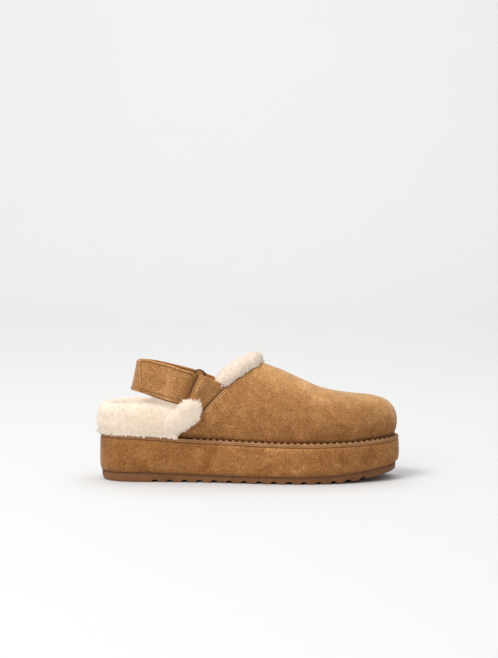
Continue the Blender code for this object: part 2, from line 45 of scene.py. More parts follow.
MM = 0.001
ORIGIN_X = 1.15

# ---- the shoe's own sizes, mm, the same tables as the solid model ----------------------
GAP = 0.3
WELT_T = 3.0
FEATHER_INSET = 4.3
INNER_INSET = 13.0
COLLAR_X = -62.5
THROAT_X = 10.5
RIDGE_END_X = 98.0
STRAP_W, STRAP_T = 27.4, 2.3
LAYER_GAP = 2.6
RING_W, RING_H, WIRE_R, RING_RISE = 8.8, 34.0, 0.75, 1.3
TREAD_FIRST_X, TREAD_PITCH, TREAD_COUNT = -83.0, 13.0, 15
TREAD_R, TREAD_DEPTH = 3.6, 2.3

OUTLINE = [
    (-132.5, 2.0, 2.0), (-130.6, -10.5, 14.0), (-124.0, -21.2, 24.6), (-112.0, -28.8, 32.0),
    (-95.0, -31.8, 35.2), (-70.0, -33.2, 34.9), (-42.0, -35.6, 33.2), (-15.0, -40.2, 34.6),
    (10.0, -45.2, 39.4), (34.0, -48.3, 45.0), (56.0, -48.3, 48.4), (78.0, -44.8, 47.8),
    (97.0, -38.0, 43.2), (112.0, -29.2, 35.8), (123.0, -19.6, 27.6), (129.8, -9.2, 18.4),
    (132.5, 5.0, 5.0),
]
HEIGHTS = [
    (-132.5, 2.6, 7.2, 37.8), (-122.0, 0.0, 7.5, 37.8), (-108.0, 0.0, 7.8, 37.6), (-95.0, 0.0, 7.9, 37.2),
    (-70.0, 0.0, 7.3, 35.8), (-43.0, 0.0, 6.5, 34.2), (0.0, 0.0, 6.1, 32.8), (31.0, 0.0, 6.2, 31.9),
    (62.0, 0.0, 6.8, 31.8), (80.0, 0.8, 8.0, 32.1), (95.0, 2.2, 9.5, 32.5), (105.0, 3.5, 10.7, 33.0),
    (115.0, 5.1, 12.1, 33.5), (124.0, 7.0, 13.7, 34.0), (132.5, 9.4, 15.4, 34.7),
]
RIDGE = [
    (10.5, 102.4, 1.0), (18.5, 99.8, 1.2), (29.0, 95.6, 1.5), (40.0, 90.3, 1.8), (50.5, 85.6, 2.2),
    (61.0, 81.2, 2.6), (72.0, 77.4, 3.0), (82.0, 75.0, 3.4), (92.0, 73.7, 3.8), (104.0, 72.8, 4.2),
    (118.0, 72.0, 4.6), (134.0, 70.8, 5.0),
]
SECTION = [(-62.5, 2.35, 4.6), (-20.0, 2.35, 3.8), (30.0, 2.45, 2.8), (70.0, 2.75, 2.4), (100.0, 3.2, 2.6), (128.5, 4.2, 3.0)]
COLLAR_LEAN = [(0.0, 0.0), (0.20, 0.165), (0.38, 0.312), (0.55, 0.445), (0.68, 0.565), (0.85, 0.78), (1.0, 1.0)]
RIM_SECTION = [
    (3.4, 0.0), (6.6, 0.12), (8.2, 0.36), (7.6, 0.62), (5.2, 0.85), (1.2, 0.98),
    (-2.6, 0.94), (-5.4, 0.76), (-6.6, 0.48), (-6.9, 0.2), (-6.9, 0.0),
]
FUR_ROLL = [
    (0.62, 0.0), (0.9, 0.14), (1.0, 0.36), (0.98, 0.62), (0.84, 0.86), (0.58, 1.0),
    (0.3, 0.95), (0.1, 0.74), (0.0, 0.42), (0.04, 0.0),
]
RIM_TOP = [(0.0, 61.4), (5.0, 63.0), (14.0, 66.2), (26.0, 68.2), (45.0, 68.2), (62.0, 66.8), (95.0, 64.6), (140.0, 63.0)]
STRAP_LATERAL = [
    (-47.4, -31.7, 96.2, -59.0, -33.0, 69.8), (-66.6, -29.6, 101.1, -76.4, -30.8, 73.7),
    (-84.8, -23.6, 104.6, -92.6, -24.4, 77.4), (-95.5, -14.0, 105.4, -101.8, -14.4, 78.4),
    (-99.6, 0.0, 105.2, -105.6, 0.0, 78.2),
]
STRAP_MEDIAL = [
    (-95.8, 13.6, 104.8, -101.8, 14.0, 77.8), (-85.2, 23.2, 103.0, -92.2, 23.8, 76.2),
    (-66.0, 28.8, 98.4, -75.0, 29.8, 71.8), (-45.0, 31.2, 92.2, -57.6, 32.0, 67.4),
]


# ---- curves ------------------------------------------------------------------------------
def column(table, i, j=0):
    x = np.array([row[j] for row in table], float)
    y = np.array([row[i] for row in table], float)
    h, d = np.diff(x), np.diff(y) / np.diff(x)
    m = np.zeros(len(x))
    m[0], m[-1] = d[0], d[-1]
    for k in range(1, len(x) - 1):
        if d[k - 1] * d[k] > 0:
            w1, w2 = 2 * h[k] + h[k - 1], h[k] + 2 * h[k - 1]
            m[k] = (w1 + w2) / (w1 / d[k - 1] + w2 / d[k])

    def at(v):
        v = np.clip(np.asarray(v, float), x[0], x[-1])
        k = np.clip(np.searchsorted(x, v, side="right") - 1, 0, len(x) - 2)
        t = (v - x[k]) / h[k]
        return (
            y[k] * (1 + 2 * t) * (1 - t) ** 2 + m[k] * h[k] * t * (1 - t) ** 2
            + y[k + 1] * t * t * (3 - 2 * t) - m[k + 1] * h[k] * t * t * (1 - t)
        )

    return at


def through(points, per=12, closed=False):
    p = [np.array(q, float) for q in points]
    n = len(p)
    p = [p[-1]] + p + p[:2] if closed else [2 * p[0] - p[1]] + p + [2 * p[-1] - p[-2]]
    out = []
    for k in range(1, (n + 1) if closed else n):
        a, b, c, d = p[k - 1], p[k], p[k + 1], p[k + 2]
        t = [0.0]
        for u, v in ((a, b), (b, c), (c, d)):
            t.append(t[-1] + max(np.linalg.norm(v - u), 1e-9) ** 0.5)
        for s in np.linspace(t[1], t[2], per, endpoint=False):
            a1 = (t[1] - s) / (t[1] - t[0]) * a + (s - t[0]) / (t[1] - t[0]) * b
            a2 = (t[2] - s) / (t[2] - t[1]) * b + (s - t[1]) / (t[2] - t[1]) * c
            a3 = (t[3] - s) / (t[3] - t[2]) * c + (s - t[2]) / (t[3] - t[2]) * d
            b1 = (t[2] - s) / (t[2] - t[0]) * a1 + (s - t[0]) / (t[2] - t[0]) * a2
            b2 = (t[3] - s) / (t[3] - t[1]) * a2 + (s - t[1]) / (t[3] - t[1]) * a3
            out.append((t[2] - s) / (t[2] - t[1]) * b1 + (s - t[1]) / (t[2] - t[1]) * b2)
    if not closed:
        out.append(p[n])
    return np.array(out)


def unit(v):
    return v / np.maximum(np.linalg.norm(v, axis=-1, keepdims=True), 1e-12)


def smooth01(t):
    t = np.clip(t, 0.0, 1.0)
    return t * t * (3 - 2 * t)


floor_z, seam_z, platform_z = column(HEIGHTS, 1), column(HEIGHTS, 2), column(HEIGHTS, 3)
ridge_z, ridge_y = column(RIDGE, 1), column(RIDGE, 2)
squareness, belly = column(SECTION, 1), column(SECTION, 2)
lean_of, rim_top = column(COLLAR_LEAN, 1), column(RIM_TOP, 1)


def welt_top(x):
    return platform_z(x) + GAP + WELT_T


_side_l = [(x, yl) for x, yl, _ in OUTLINE]
_side_m = [(x, ym) for x, _, ym in OUTLINE[1:-1]]
RIM = through(_side_l + _side_m[::-1], per=24, closed=True)
_tan = unit(np.roll(RIM, -1, 0) - np.roll(RIM, 1, 0))
RIM_OUT = np.stack([_tan[:, 1], -_tan[:, 0]], 1)
_seg = np.linalg.norm(np.roll(RIM, -1, 0) - RIM, axis=1)
RIM_S = np.concatenate([[0], np.cumsum(_seg)])


def around(n, d):
    """n points at even spacing round the outline, moved in by d, with the outward directions."""
    at = np.linspace(0, RIM_S[-1], n, endpoint=False)
    wrap = lambda a: np.vstack([a, a[:1]])
    pick = lambda a: np.stack([np.interp(at, RIM_S, wrap(a)[:, c]) for c in (0, 1)], 1)
    p, o = pick(RIM), unit(pick(RIM_OUT))
    d = d(p[:, 0]) if callable(d) else np.full(n, float(d))
    return p - o * d[:, None], o


def inset(d):
    d = d(RIM[:, 0]) if callable(d) else d
    return RIM - RIM_OUT * np.reshape(d, (-1, 1))


# ---- seeded noise ------------------------------------------------------------------------
def _hash(i, seed):
    n = (i[..., 0] * 73856093) ^ (i[..., 1] * 19349663) ^ (i[..., 2] * 83492791) ^ (seed * 2654435761 % 2147483647)
    n = (n ^ (n >> 13)) * 1274126177 & 0x7FFFFFFF
    n = (n ^ (n >> 16)) & 0xFFFFFF
    return n / float(0xFFFFFF) * 2 - 1


def noise(p, size, seed=0, octaves=2):
    """Smooth value noise in -1..1 over points in mm; size is the length of one bump."""
    out, amp, total = 0.0, 1.0, 0.0
    for o in range(octaves):
        q = np.asarray(p, float) / size * 2 ** o + 31.7 * (o + 1) + seed * 7.13
        i = np.floor(q).astype(np.int64)
        f = q - i
        f = f * f * (3 - 2 * f)
        v = 0.0
        for dx in (0, 1):
            for dy in (0, 1):
                for dz in (0, 1):
                    w = (f[..., 0] if dx else 1 - f[..., 0]) * (f[..., 1] if dy else 1 - f[..., 1]) * (f[..., 2] if dz else 1 - f[..., 2])
                    v = v + w * _hash(i + np.array([dx, dy, dz]), seed + o)
        out = out + amp * v
        total += amp
        amp *= 0.5
    return out / total


# ---- meshes --------------------------------------------------------------------------------
def to_m(v):
    v = np.asarray(v, float).reshape(-1, 3).copy()
    v[:, 0] += ORIGIN_X
    return v * MM


def make(name, verts, faces, mats, replaces=(), angle=None, weld=1e-6, face_mat=None, ride=True):
    me = bpy.data.meshes.new(name)
    me.from_pydata([tuple(v) for v in to_m(verts)], [], [tuple(f) for f in faces])
    mats = mats if isinstance(mats, (list, tuple)) else [mats]
    for m in mats:
        me.materials.append(m)
    if face_mat is not None:
        me.polygons.foreach_set("material_index", np.asarray(face_mat, np.int32))
    if weld:
        bm = bmesh.new()
        bm.from_mesh(me)
        bmesh.ops.remove_doubles(bm, verts=bm.verts, dist=weld)
        bmesh.ops.recalc_face_normals(bm, faces=bm.faces)
        bm.to_mesh(me)
        bm.free()
    me.shade_smooth()
    if angle:
        me.set_sharp_from_angle(angle=math.radians(angle))
    ob = bpy.data.objects.new(name, me)
    bpy.context.scene.collection.objects.link(ob)
    if ride:
        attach(ob, "root")
        if replaces:
            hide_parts(*replaces)
    return ob


def quads(nu, nv, close_u=False, close_v=False, base=0):
    i, j = np.meshgrid(np.arange(nu if close_u else nu - 1), np.arange(nv if close_v else nv - 1), indexing="ij")
    i2, j2 = (i + 1) % nu, (j + 1) % nv
    return (np.stack([i * nv + j, i * nv + j2, i2 * nv + j2, i2 * nv + j], -1).reshape(-1, 4) + base).tolist()


def attribute(ob, name, values):
    a = ob.data.attributes.new(name, "FLOAT", "POINT")
    a.data.foreach_set("value", np.asarray(values, np.float32).ravel())


def points_of(ob):
    co = np.zeros(len(ob.data.vertices) * 3, np.float32)
    ob.data.vertices.foreach_get("co", co)
    p = co.reshape(-1, 3).astype(float) / MM
    p[:, 0] -= ORIGIN_X
    return p


def surface_samples(ob, n, seed, keep=None):
    """n random points on a mesh in mm with smooth normals, spread evenly by area."""
    me = ob.data
    me.calc_loop_triangles()
    tri = np.zeros(len(me.loop_triangles) * 3, np.int32)
    me.loop_triangles.foreach_get("vertices", tri)
    tri = tri.reshape(-1, 3)
    p = points_of(ob)
    vn = np.zeros(len(me.vertices) * 3, np.float32)
    me.vertices.foreach_get("normal", vn)
    vn = vn.reshape(-1, 3).astype(float)
    if keep is not None:
        tri = tri[keep(p[tri].mean(1), vn[tri].mean(1))]
    a, b, c = p[tri[:, 0]], p[tri[:, 1]], p[tri[:, 2]]
    area = np.linalg.norm(np.cross(b - a, c - a), axis=1)
    rng = np.random.default_rng(seed)
    pick = rng.choice(len(tri), n, p=area / area.sum())
    u, v = rng.random(n), rng.random(n)
    flip = u + v > 1
    u[flip], v[flip] = 1 - u[flip], 1 - v[flip]
    w = np.stack([1 - u - v, u, v], 1)[:, :, None]
    t = tri[pick]
    return (p[t] * w).sum(1), unit((vn[t] * w).sum(1))


def raw_mesh(name, verts, loops, sizes, mat, normals=None):
    me = bpy.data.meshes.new(name)
    me.vertices.add(len(verts))
    me.vertices.foreach_set("co", to_m(verts).astype(np.float32).ravel())
    me.loops.add(len(loops))
    me.loops.foreach_set("vertex_index", np.asarray(loops, np.int32))
    me.polygons.add(len(sizes))
    me.polygons.foreach_set("loop_start", np.concatenate([[0], np.cumsum(sizes)[:-1]]).astype(np.int32))
    me.update(calc_edges=True)
    me.validate()
    me.shade_smooth()
    me.materials.append(mat)
    if normals is not None and len(me.vertices) == len(normals):
        me.normals_split_custom_set_from_vertices(normals.astype(np.float32))
    ob = bpy.data.objects.new(name, me)
    bpy.context.scene.collection.objects.link(ob)
    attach(ob, "root")
    return ob


def pile(name, p, n, length, width, mat, seed, lock=3.2, gather=0.45, lean=(0, 0, -0.12), curl=0.22, soft=0.65, spread=0.45, curly=0.25, ragged=0.22):
    """Tapering hairs of a pile, gathered into small locks; a share of them are bent twice as fine."""
    rng = np.random.default_rng(seed)
    count = len(p)
    L = (length(p) if callable(length) else length) * (0.72 + 0.5 * rng.random(count))
    L = L * (1 + ragged * noise(p, 6.0, seed) + 0.6 * ragged * noise(p, 2.8, seed + 9))
    d = unit(n + spread * rng.normal(size=(count, 3)) * 0.55 + np.array(lean) + 0.35 * np.stack([noise(p, 7.0, seed + k, 1) for k in (1, 2, 3)], 1))
    tip = p + d * L[:, None]
    m = max(8, int(count * min(1.0, 0.9 / (lock * lock))))
    heads = rng.choice(count, min(m, count), replace=False)
    tree = KDTree(len(heads))
    hx = p[heads] + unit(n[heads] + 0.3 * rng.normal(size=(len(heads), 3)) + np.array(lean)) * (L[heads] * 1.12)[:, None]
    for k, h in enumerate(heads):
        tree.insert(Vector(p[h]), k)
    tree.balance()
    near = np.array([tree.find(Vector(q))[1] for q in p])
    far = np.linalg.norm(p - p[heads][near], axis=1)
    g = gather * np.exp(-((far / (lock * 1.6)) ** 2))
    tip = tip + (hx[near] - tip) * g[:, None]
    side = unit(np.cross(d, rng.normal(size=(count, 3))))
    mid = p + (tip - p) * 0.52 + n * (0.10 * L)[:, None] + side * (curl * L * (0.5 + rng.random(count)))[:, None]
    base = p - n * 0.5
    w = width * (0.75 + 0.5 * rng.random(count))
    a = unit(np.cross(tip - base, side + 1e-6))
    b = unit(np.cross(tip - base, a))
    ring = lambda c, r, k: c + (a * math.cos(2 * math.pi * k / 3) + b * math.sin(2 * math.pi * k / 3)) * (r / 2)[:, None]
    cut = int(count * curly)
    bent = np.stack([ring(base, w, k) for k in range(3)] + [ring(mid, w * 0.72, k) for k in range(3)] + [tip], 1)[:cut]
    plain = np.stack([ring(base, w * 1.1, k) for k in range(3)] + [tip], 1)[cut:]
    q = sum(([k, (k + 1) % 3, 3 + (k + 1) % 3, 3 + k] for k in range(3)), []) + sum(([3 + k, 3 + (k + 1) % 3, 6] for k in range(3)), [])
    t = sum(([k, (k + 1) % 3, 3] for k in range(3)), [])
    loops = np.concatenate([
        (np.array(q)[None, :] + (np.arange(cut) * 7)[:, None]).ravel(),
        (np.array(t)[None, :] + (np.arange(count - cut) * 4)[:, None] + cut * 7).ravel(),
    ])
    sizes = np.concatenate([np.tile([4, 4, 4, 3, 3, 3], cut), np.full((count - cut) * 3, 3)])
    core = np.stack([base] * 3 + [mid] * 3 + [mid], 1)[:cut]
    blend = lambda own, up: unit(unit(own) * (1 - soft) + up[:, None, :] * soft).reshape(-1, 3)
    nn = np.vstack([blend(bent - core, n[:cut]), blend(plain - np.stack([base] * 3 + [mid], 1)[cut:], n[cut:])])
    ob = raw_mesh(name, np.vstack([bent.reshape(-1, 3), plain.reshape(-1, 3)]), loops, sizes, mat, nn)
    attribute(ob, "along", np.concatenate([np.tile([0, 0, 0, 0.55, 0.55, 0.55, 1.0], cut), np.tile([0, 0, 0, 1.0], count - cut)]))
    tone = rng.random(len(heads))[near] * 0.6 + 0.4 * rng.random(count)
    attribute(ob, "tone", np.concatenate([np.repeat(tone[:cut], 7), np.repeat(tone[cut:], 4)]))
    return ob


# ---- materials -------------------------------------------------------------------------------
def srgb(*c):
    return tuple(((v / 255) / 12.92 if v / 255 <= 0.04045 else ((v / 255 + 0.055) / 1.055) ** 2.4) for v in c) + (1.0,)


class Shader:
    def __init__(self, name):
        self.m = bpy.data.materials.new(name)
        self.m.use_nodes = True
        self.t = self.m.node_tree
        self.b = self.t.nodes["Principled BSDF"]
        self.co = self.t.nodes.new("ShaderNodeTexCoord").outputs["Object"]

    def new(self, kind, **inputs):
        n = self.t.nodes.new(kind)
        for k, v in inputs.items():
            n.inputs[k.replace("_", " ")].default_value = v
        return n

    def link(self, a, b):
        self.t.links.new(a, b)

    def noise(self, scale, detail=2.0, rough=0.5, distortion=0.0, stretch=None):
        n = self.new("ShaderNodeTexNoise", Scale=scale, Detail=detail, Roughness=rough, Distortion=distortion)
        if stretch:
            mp = self.t.nodes.new("ShaderNodeMapping")
            mp.inputs["Scale"].default_value = stretch
            self.link(self.co, mp.inputs["Vector"])
            self.link(mp.outputs[0], n.inputs["Vector"])
        else:
            self.link(self.co, n.inputs["Vector"])
        return n.outputs["Fac"]

    def ramp(self, fac, stops):
        r = self.t.nodes.new("ShaderNodeValToRGB")
        e = r.color_ramp.elements
        while len(e) < len(stops):
            e.new(0.5)
        for el, (pos, col) in zip(e, stops):
            el.position = pos
            el.color = col if len(col) == 4 else (*col, 1)
        self.link(fac, r.inputs[0])
        return r.outputs["Color"]

    def mix(self, a, b, fac, mode="MIX"):
        n = self.t.nodes.new("ShaderNodeMix")
        n.data_type = "RGBA"
        n.blend_type = mode
        for sock, v in ((n.inputs[0], fac), (n.inputs[6], a), (n.inputs[7], b)):
            if hasattr(v, "is_linked") or hasattr(v, "links"):
                self.link(v, sock)
            else:
                sock.default_value = v
        return n.outputs[2]

    def math(self, op, a, b=None, c=None):
        n = self.t.nodes.new("ShaderNodeMath")
        n.operation = op
        for sock, v in zip(n.inputs, (a, b, c)):
            if v is None:
                continue
            if hasattr(v, "links"):
                self.link(v, sock)
            else:
                sock.default_value = v
        return n.outputs[0]

    def smooth(self, v, lo, hi):
        n = self.t.nodes.new("ShaderNodeMapRange")
        n.interpolation_type = "SMOOTHSTEP"
        n.inputs["From Min"].default_value = lo
        n.inputs["From Max"].default_value = hi
        self.link(v, n.inputs["Value"])
        return n.outputs["Result"]

    def bump(self, height, strength, distance, under=None):
        n = self.new("ShaderNodeBump", Strength=strength, Distance=distance)
        self.link(height, n.inputs["Height"])
        if under is not None:
            self.link(under, n.inputs["Normal"])
        return n.outputs["Normal"]

    def attr(self, name):
        n = self.t.nodes.new("ShaderNodeAttribute")
        n.attribute_name = name
        return n.outputs["Fac"]

    def xyz(self):
        n = self.t.nodes.new("ShaderNodeSeparateXYZ")
        self.link(self.co, n.inputs[0])
        return n.outputs

    def done(self, color=None, rough=None, normal=None, **fixed):
        if color is not None:
            if hasattr(color, "links"):
                self.link(color, self.b.inputs["Base Color"])
            else:
                self.b.inputs["Base Color"].default_value = color
        if rough is not None:
            if hasattr(rough, "links"):
                self.link(rough, self.b.inputs["Roughness"])
            else:
                self.b.inputs["Roughness"].default_value = rough
        if normal is not None:
            self.link(normal, self.b.inputs["Normal"])
        for k, v in fixed.items():
            self.b.inputs[k.replace("_", " ")].default_value = v
        return self.m


def suede(name, mid, dark, light, shade=None, edge=None, blotch=0.5):
    """Napped leather: soft brushed patches under a fine, even speckle."""
    s = Shader(name)
    cloud = s.noise(46, 4.0, 0.55, 0.5)
    brush = s.noise(105, 4.0, 0.6, 0.8)
    speck = s.noise(1120, 3.0, 0.72)
    grain = s.noise(2600, 2.0, 0.6)
    c = s.mix(mid, dark, s.math("MULTIPLY", s.smooth(cloud, 0.50, 0.70), blotch))
    c = s.mix(c, light, s.math("MULTIPLY", s.smooth(brush, 0.50, 0.72), 0.5))
    c = s.mix(c, dark, s.math("MULTIPLY", s.math("SUBTRACT", 1.0, s.smooth(brush, 0.30, 0.48)), 0.35))
    sp = s.ramp(speck, [(0.37, (0.54, 0.50, 0.46, 1)), (0.5, (1, 1, 1, 1)), (0.62, (1.62, 1.64, 1.64, 1))])
    c = s.mix(c, sp, 0.85, "MULTIPLY")
    if shade:
        c = shade(s, c)
    # darker towards the collar edge: the raw edge's own tone and painted shade
    if edge is not None:
        e = s.attr("edge")
        c = s.mix(c, edge, s.math("SUBTRACT", 1.0, s.smooth(e, 0.3, 1.9)))
    n = s.bump(speck, 0.6, 0.0005)
    n = s.bump(grain, 0.35, 0.00012, n)
    n = s.bump(brush, 0.3, 0.0009, n)
    return s.done(
        c, 0.93, n,
        Sheen_Weight=0.32, Sheen_Roughness=0.38, Sheen_Tint=(1.0, 0.86, 0.66, 1), Specular_IOR_Level=0.10,
    )


def nap_and_painted_light(s, c):
    """The brushed nap's tone with painted light and shade, from each piece's attribute: darker is also redder."""
    v = s.attr("nap_and_painted_light")
    n = s.t.nodes.new("ShaderNodeCombineColor")
    s.link(v, n.inputs[0])
    s.link(s.math("POWER", v, 1.18), n.inputs[1])
    s.link(s.math("POWER", v, 1.4), n.inputs[2])
    return s.mix(c, n.outputs[0], 1.0, "MULTIPLY")


def upper_painted_light(s, c):
    x, y, z = s.xyz()
    wob = s.noise(60, 3.0)
    # painted shade: the upper darker and redder low down, towards the welt
    low = s.math("SUBTRACT", 1.0, s.smooth(z, 0.036, 0.062))
    low = s.math("MULTIPLY", low, s.smooth(wob, 0.2, 0.7))
    c = s.mix(c, (0.72, 0.64, 0.56, 1), s.math("MULTIPLY", low, 0.85), "MULTIPLY")
    # painted highlight: lighter and yellower along the top of the upper and its ridge, where the light falls
    lift = s.math("ADD", z, s.math("MULTIPLY", s.math("SUBTRACT", wob, 0.5), 0.022))
    rise = s.math("ADD", lift, s.math("MULTIPLY", s.math("MAXIMUM", s.math("SUBTRACT", x, 0.01), 0.0), 0.32))
    high = s.smooth(rise, 0.080, 0.106)
    c = s.mix(c, (1.42, 1.62, 1.78, 1), high, "MULTIPLY")
    # painted shade: darker on the front of the toe, except under the painted highlight
    front = s.smooth(x, 0.085, 0.125)
    c = s.mix(c, (0.90, 0.86, 0.82, 1), s.math("MULTIPLY", front, s.math("SUBTRACT", 1.0, high)), "MULTIPLY")
    return nap_and_painted_light(s, c)


def platform_mottle_and_shade(s, c):
    x, y, z = s.xyz()
    wob = s.noise(42, 3.0, 0.6, 0.4)
    c = s.mix(c, srgb(128, 78, 38), s.math("MULTIPLY", s.smooth(wob, 0.52, 0.68), 0.30))
    # painted shade: the wrap darker towards its bottom, where it turns under; the blotches above are its own mottling
    low = s.math("SUBTRACT", 1.0, s.smooth(z, 0.008, 0.013))
    return nap_and_painted_light(s, s.mix(c, (0.84, 0.79, 0.74, 1), s.math("MULTIPLY", low, 0.4), "MULTIPLY"))


def fur_material(name, root, tip, strands=True, painted_glow=0.16):
    """Pale pile: warmer down at its roots and between its locks, partly its own tone and partly painted shade, paler
    at the tips; painted shade between tufts and an even painted glow.
    """
    s = Shader(name)
    big = s.noise(70, 3.0, 0.55)
    small = s.noise(420, 2.0, 0.6)
    c = s.ramp(big, [(0.34, root), (0.66, tip)])
    if strands:
        along, tone = s.attr("along"), s.attr("tone")
        k = s.math("ADD", s.math("MULTIPLY", along, 0.7), s.math("MULTIPLY", tone, 0.3))
        c = s.mix(s.mix(root, c, 0.35), s.mix(tip, c, 0.3), s.smooth(k, 0.0, 0.8))
    else:
        c = s.mix(c, s.ramp(small, [(0.30, (0.94, 0.91, 0.86, 1)), (0.62, (1, 1, 1, 1))]), 0.8, "MULTIPLY")
    # painted shade between the tufts
    tuft_shade = s.noise(250, 2.0, 0.5, 0.6, stretch=(1.3, 1.3, 1.0))
    c = s.mix(c, s.ramp(tuft_shade, [(0.34, (0.92, 0.885, 0.83, 1)), (0.58, (1, 1, 1, 1))]), 0.7, "MULTIPLY")
    # painted glow: the pile emits its own colour, and its base colour is cut to 0.7 under it
    s.link(c, s.b.inputs["Emission Color"])
    s.b.inputs["Emission Strength"].default_value = painted_glow
    body = s.mix(c, (0.7, 0.7, 0.7, 1), 1.0, "MULTIPLY")
    return s.done(
        body, 0.9, s.bump(small, 0.3, 0.0005), Specular_IOR_Level=0.05,
        Subsurface_Weight=0.0 if strands else 0.3, Subsurface_Radius=(1.0, 0.9, 0.8), Subsurface_Scale=0.0012,
    )


def rubber_material(name, a, b, rough=0.52):
    s = Shader(name)
    big = s.noise(70, 4.0, 0.6)
    small = s.noise(1500, 2.0, 0.5)
    c = s.ramp(big, [(0.3, a), (0.7, b)])
    r = s.ramp(small, [(0.3, (rough - 0.08,) * 3), (0.7, (rough + 0.1,) * 3)])
    n = s.bump(small, 0.25, 0.00015)
    return s.done(c, r, n, Specular_IOR_Level=0.28)


SUEDE = suede("suede", srgb(150, 105, 63), srgb(118, 76, 41), srgb(178, 131, 83), upper_painted_light, srgb(88, 52, 27), 0.45)
SUEDE_WRAP = suede("suede_wrap", srgb(143, 97, 55), srgb(106, 65, 33), srgb(172, 125, 77), platform_mottle_and_shade, None, 0.6)
SUEDE_STRAP = suede("suede_strap", srgb(158, 113, 69), srgb(128, 85, 47), srgb(184, 139, 92), nap_and_painted_light, None, 0.4)
# the strap's cut edges: lighter, partly their own tone and partly painted highlight
SUEDE_EDGE_LIT = rubber_material("suede_cut_edge_lit", srgb(190, 142, 92), srgb(158, 110, 66), 0.85)
# each pile material carries an even painted glow
FUR = fur_material("shearling", srgb(240, 222, 202), srgb(250, 237, 222), painted_glow=0.40)
FUR_BODY = fur_material("shearling_ground", srgb(240, 222, 200), srgb(248, 234, 216), strands=False, painted_glow=0.40)
FUR_COLLAR = fur_material("shearling_collar", srgb(232, 214, 196), srgb(244, 230, 216), painted_glow=0.36)
FUR_LINING = fur_material("shearling_lining", srgb(236, 213, 183), srgb(250, 235, 214), painted_glow=0.30)
FUR_INNER = fur_material("shearling_inner", srgb(232, 210, 178), srgb(246, 229, 204), strands=False, painted_glow=0.26)
RUBBER = rubber_material("rubber", srgb(104, 66, 36), srgb(124, 82, 47), 0.58)
WELT_RUBBER = rubber_material("welt_rubber", srgb(142, 99, 60), srgb(166, 121, 78), 0.58)
# near-black bead behind the welt bars: painted shadow
WELT_SHADOW = rubber_material("welt_painted_shadow", srgb(24, 14, 8), srgb(34, 20, 12), 0.9)
THREAD = rubber_material("thread", srgb(206, 168, 122), srgb(224, 190, 146), 0.7)
# strap thread made near-black: painted shade of the stitch holes
THREAD_HOLE_SHADE = rubber_material("thread_hole_shade", srgb(58, 32, 15), srgb(80, 47, 24), 0.85)
TAPE = rubber_material("tape", srgb(60, 42, 30), srgb(84, 60, 42), 0.95)


def metal_material():
    s = Shader("dark_metal")
    scratch = s.noise(900, 3.0, 0.6, stretch=(1, 1, 6))
    r = s.ramp(scratch, [(0.3, (0.22,) * 3), (0.7, (0.42,) * 3)])
    return s.done(srgb(84, 62, 46), r, s.bump(scratch, 0.15, 0.00005), Metallic=1.0)


METAL = metal_material()


# ---- the nap's tone and painted light and shade, as listed patches: (x, z, half length, half height, gain) ----
UPPER_NAP_AND_LIGHT = [
    (-8.0, 91.0, 9.0, 6.0, -0.09), (4.5, 60.0, 24.0, 11.0, -0.10), (47.5, 58.0, 17.0, 7.0, -0.09),
    (100.0, 65.0, 17.0, 6.0, -0.15), (110.5, 51.0, 11.0, 4.5, 0.13), (81.0, 49.0, 8.0, 5.0, -0.08),
    (26.0, 53.0, 5.0, 7.0, 0.07), (70.0, 61.5, 8.0, 5.0, 0.06), (-40.0, 58.0, 9.0, 14.0, 0.09),
    (44.0, 85.0, 19.0, 6.0, 0.17), (64.0, 77.0, 15.0, 6.0, 0.16), (22.0, 91.0, 10.0, 6.0, 0.08),
    (123.0, 62.0, 5.0, 14.0, 0.11), (106.0, 71.5, 14.0, 2.6, 0.06), (-15.0, 78.0, 6.0, 14.0, -0.07),
    (99.0, 62.5, 15.0, 8.0, -0.07), (10.0, 56.0, 13.0, 6.0, -0.05), (88.0, 42.0, 26.0, 4.5, -0.12), (65.0, 74.0, 30.0, 4.0, 0.07),
]
# the platform wrap: its own darker and lighter mottling, with painted light and shade
WRAP_NAP_AND_LIGHT = [
    (-118.0, 24.0, 13.0, 16.0, -0.12), (-70.0, 26.0, 14.0, 14.0, -0.09), (-38.0, 29.0, 13.0, 12.0, 0.13),
    (18.0, 25.0, 27.0, 10.0, 0.14), (25.0, 11.0, 32.0, 4.0, 0.19), (54.0, 13.0, 14.0, 5.0, 0.08),
    (103.0, 26.0, 7.0, 10.0, 0.13), (122.0, 30.0, 7.0, 10.0, 0.08), (92.0, 9.5, 13.0, 4.0, -0.08),
    (24.0, 30.0, 30.0, 5.0, 0.12), (-117.0, 28.0, 11.0, 10.0, -0.06), (-32.0, 21.0, 5.0, 9.0, 0.13), (-70.0, 26.0, 8.0, 10.0, -0.05),
]


def patches(p, table, shift=0.0):
    """The nap's tone with painted light and shade at points on the shoe; the medial side carries the same patches
    moved on a little.
    """
    v = np.ones(len(p))
    x = p[:, 0] - shift * smooth01((p[:, 1] + 4.0) / 12.0)
    for px, pz, rx, rz, gain in table:
        v = v * (1 + gain * np.exp(-(((x - px) / rx) ** 2) - ((p[:, 2] - pz) / rz) ** 2))
    return v


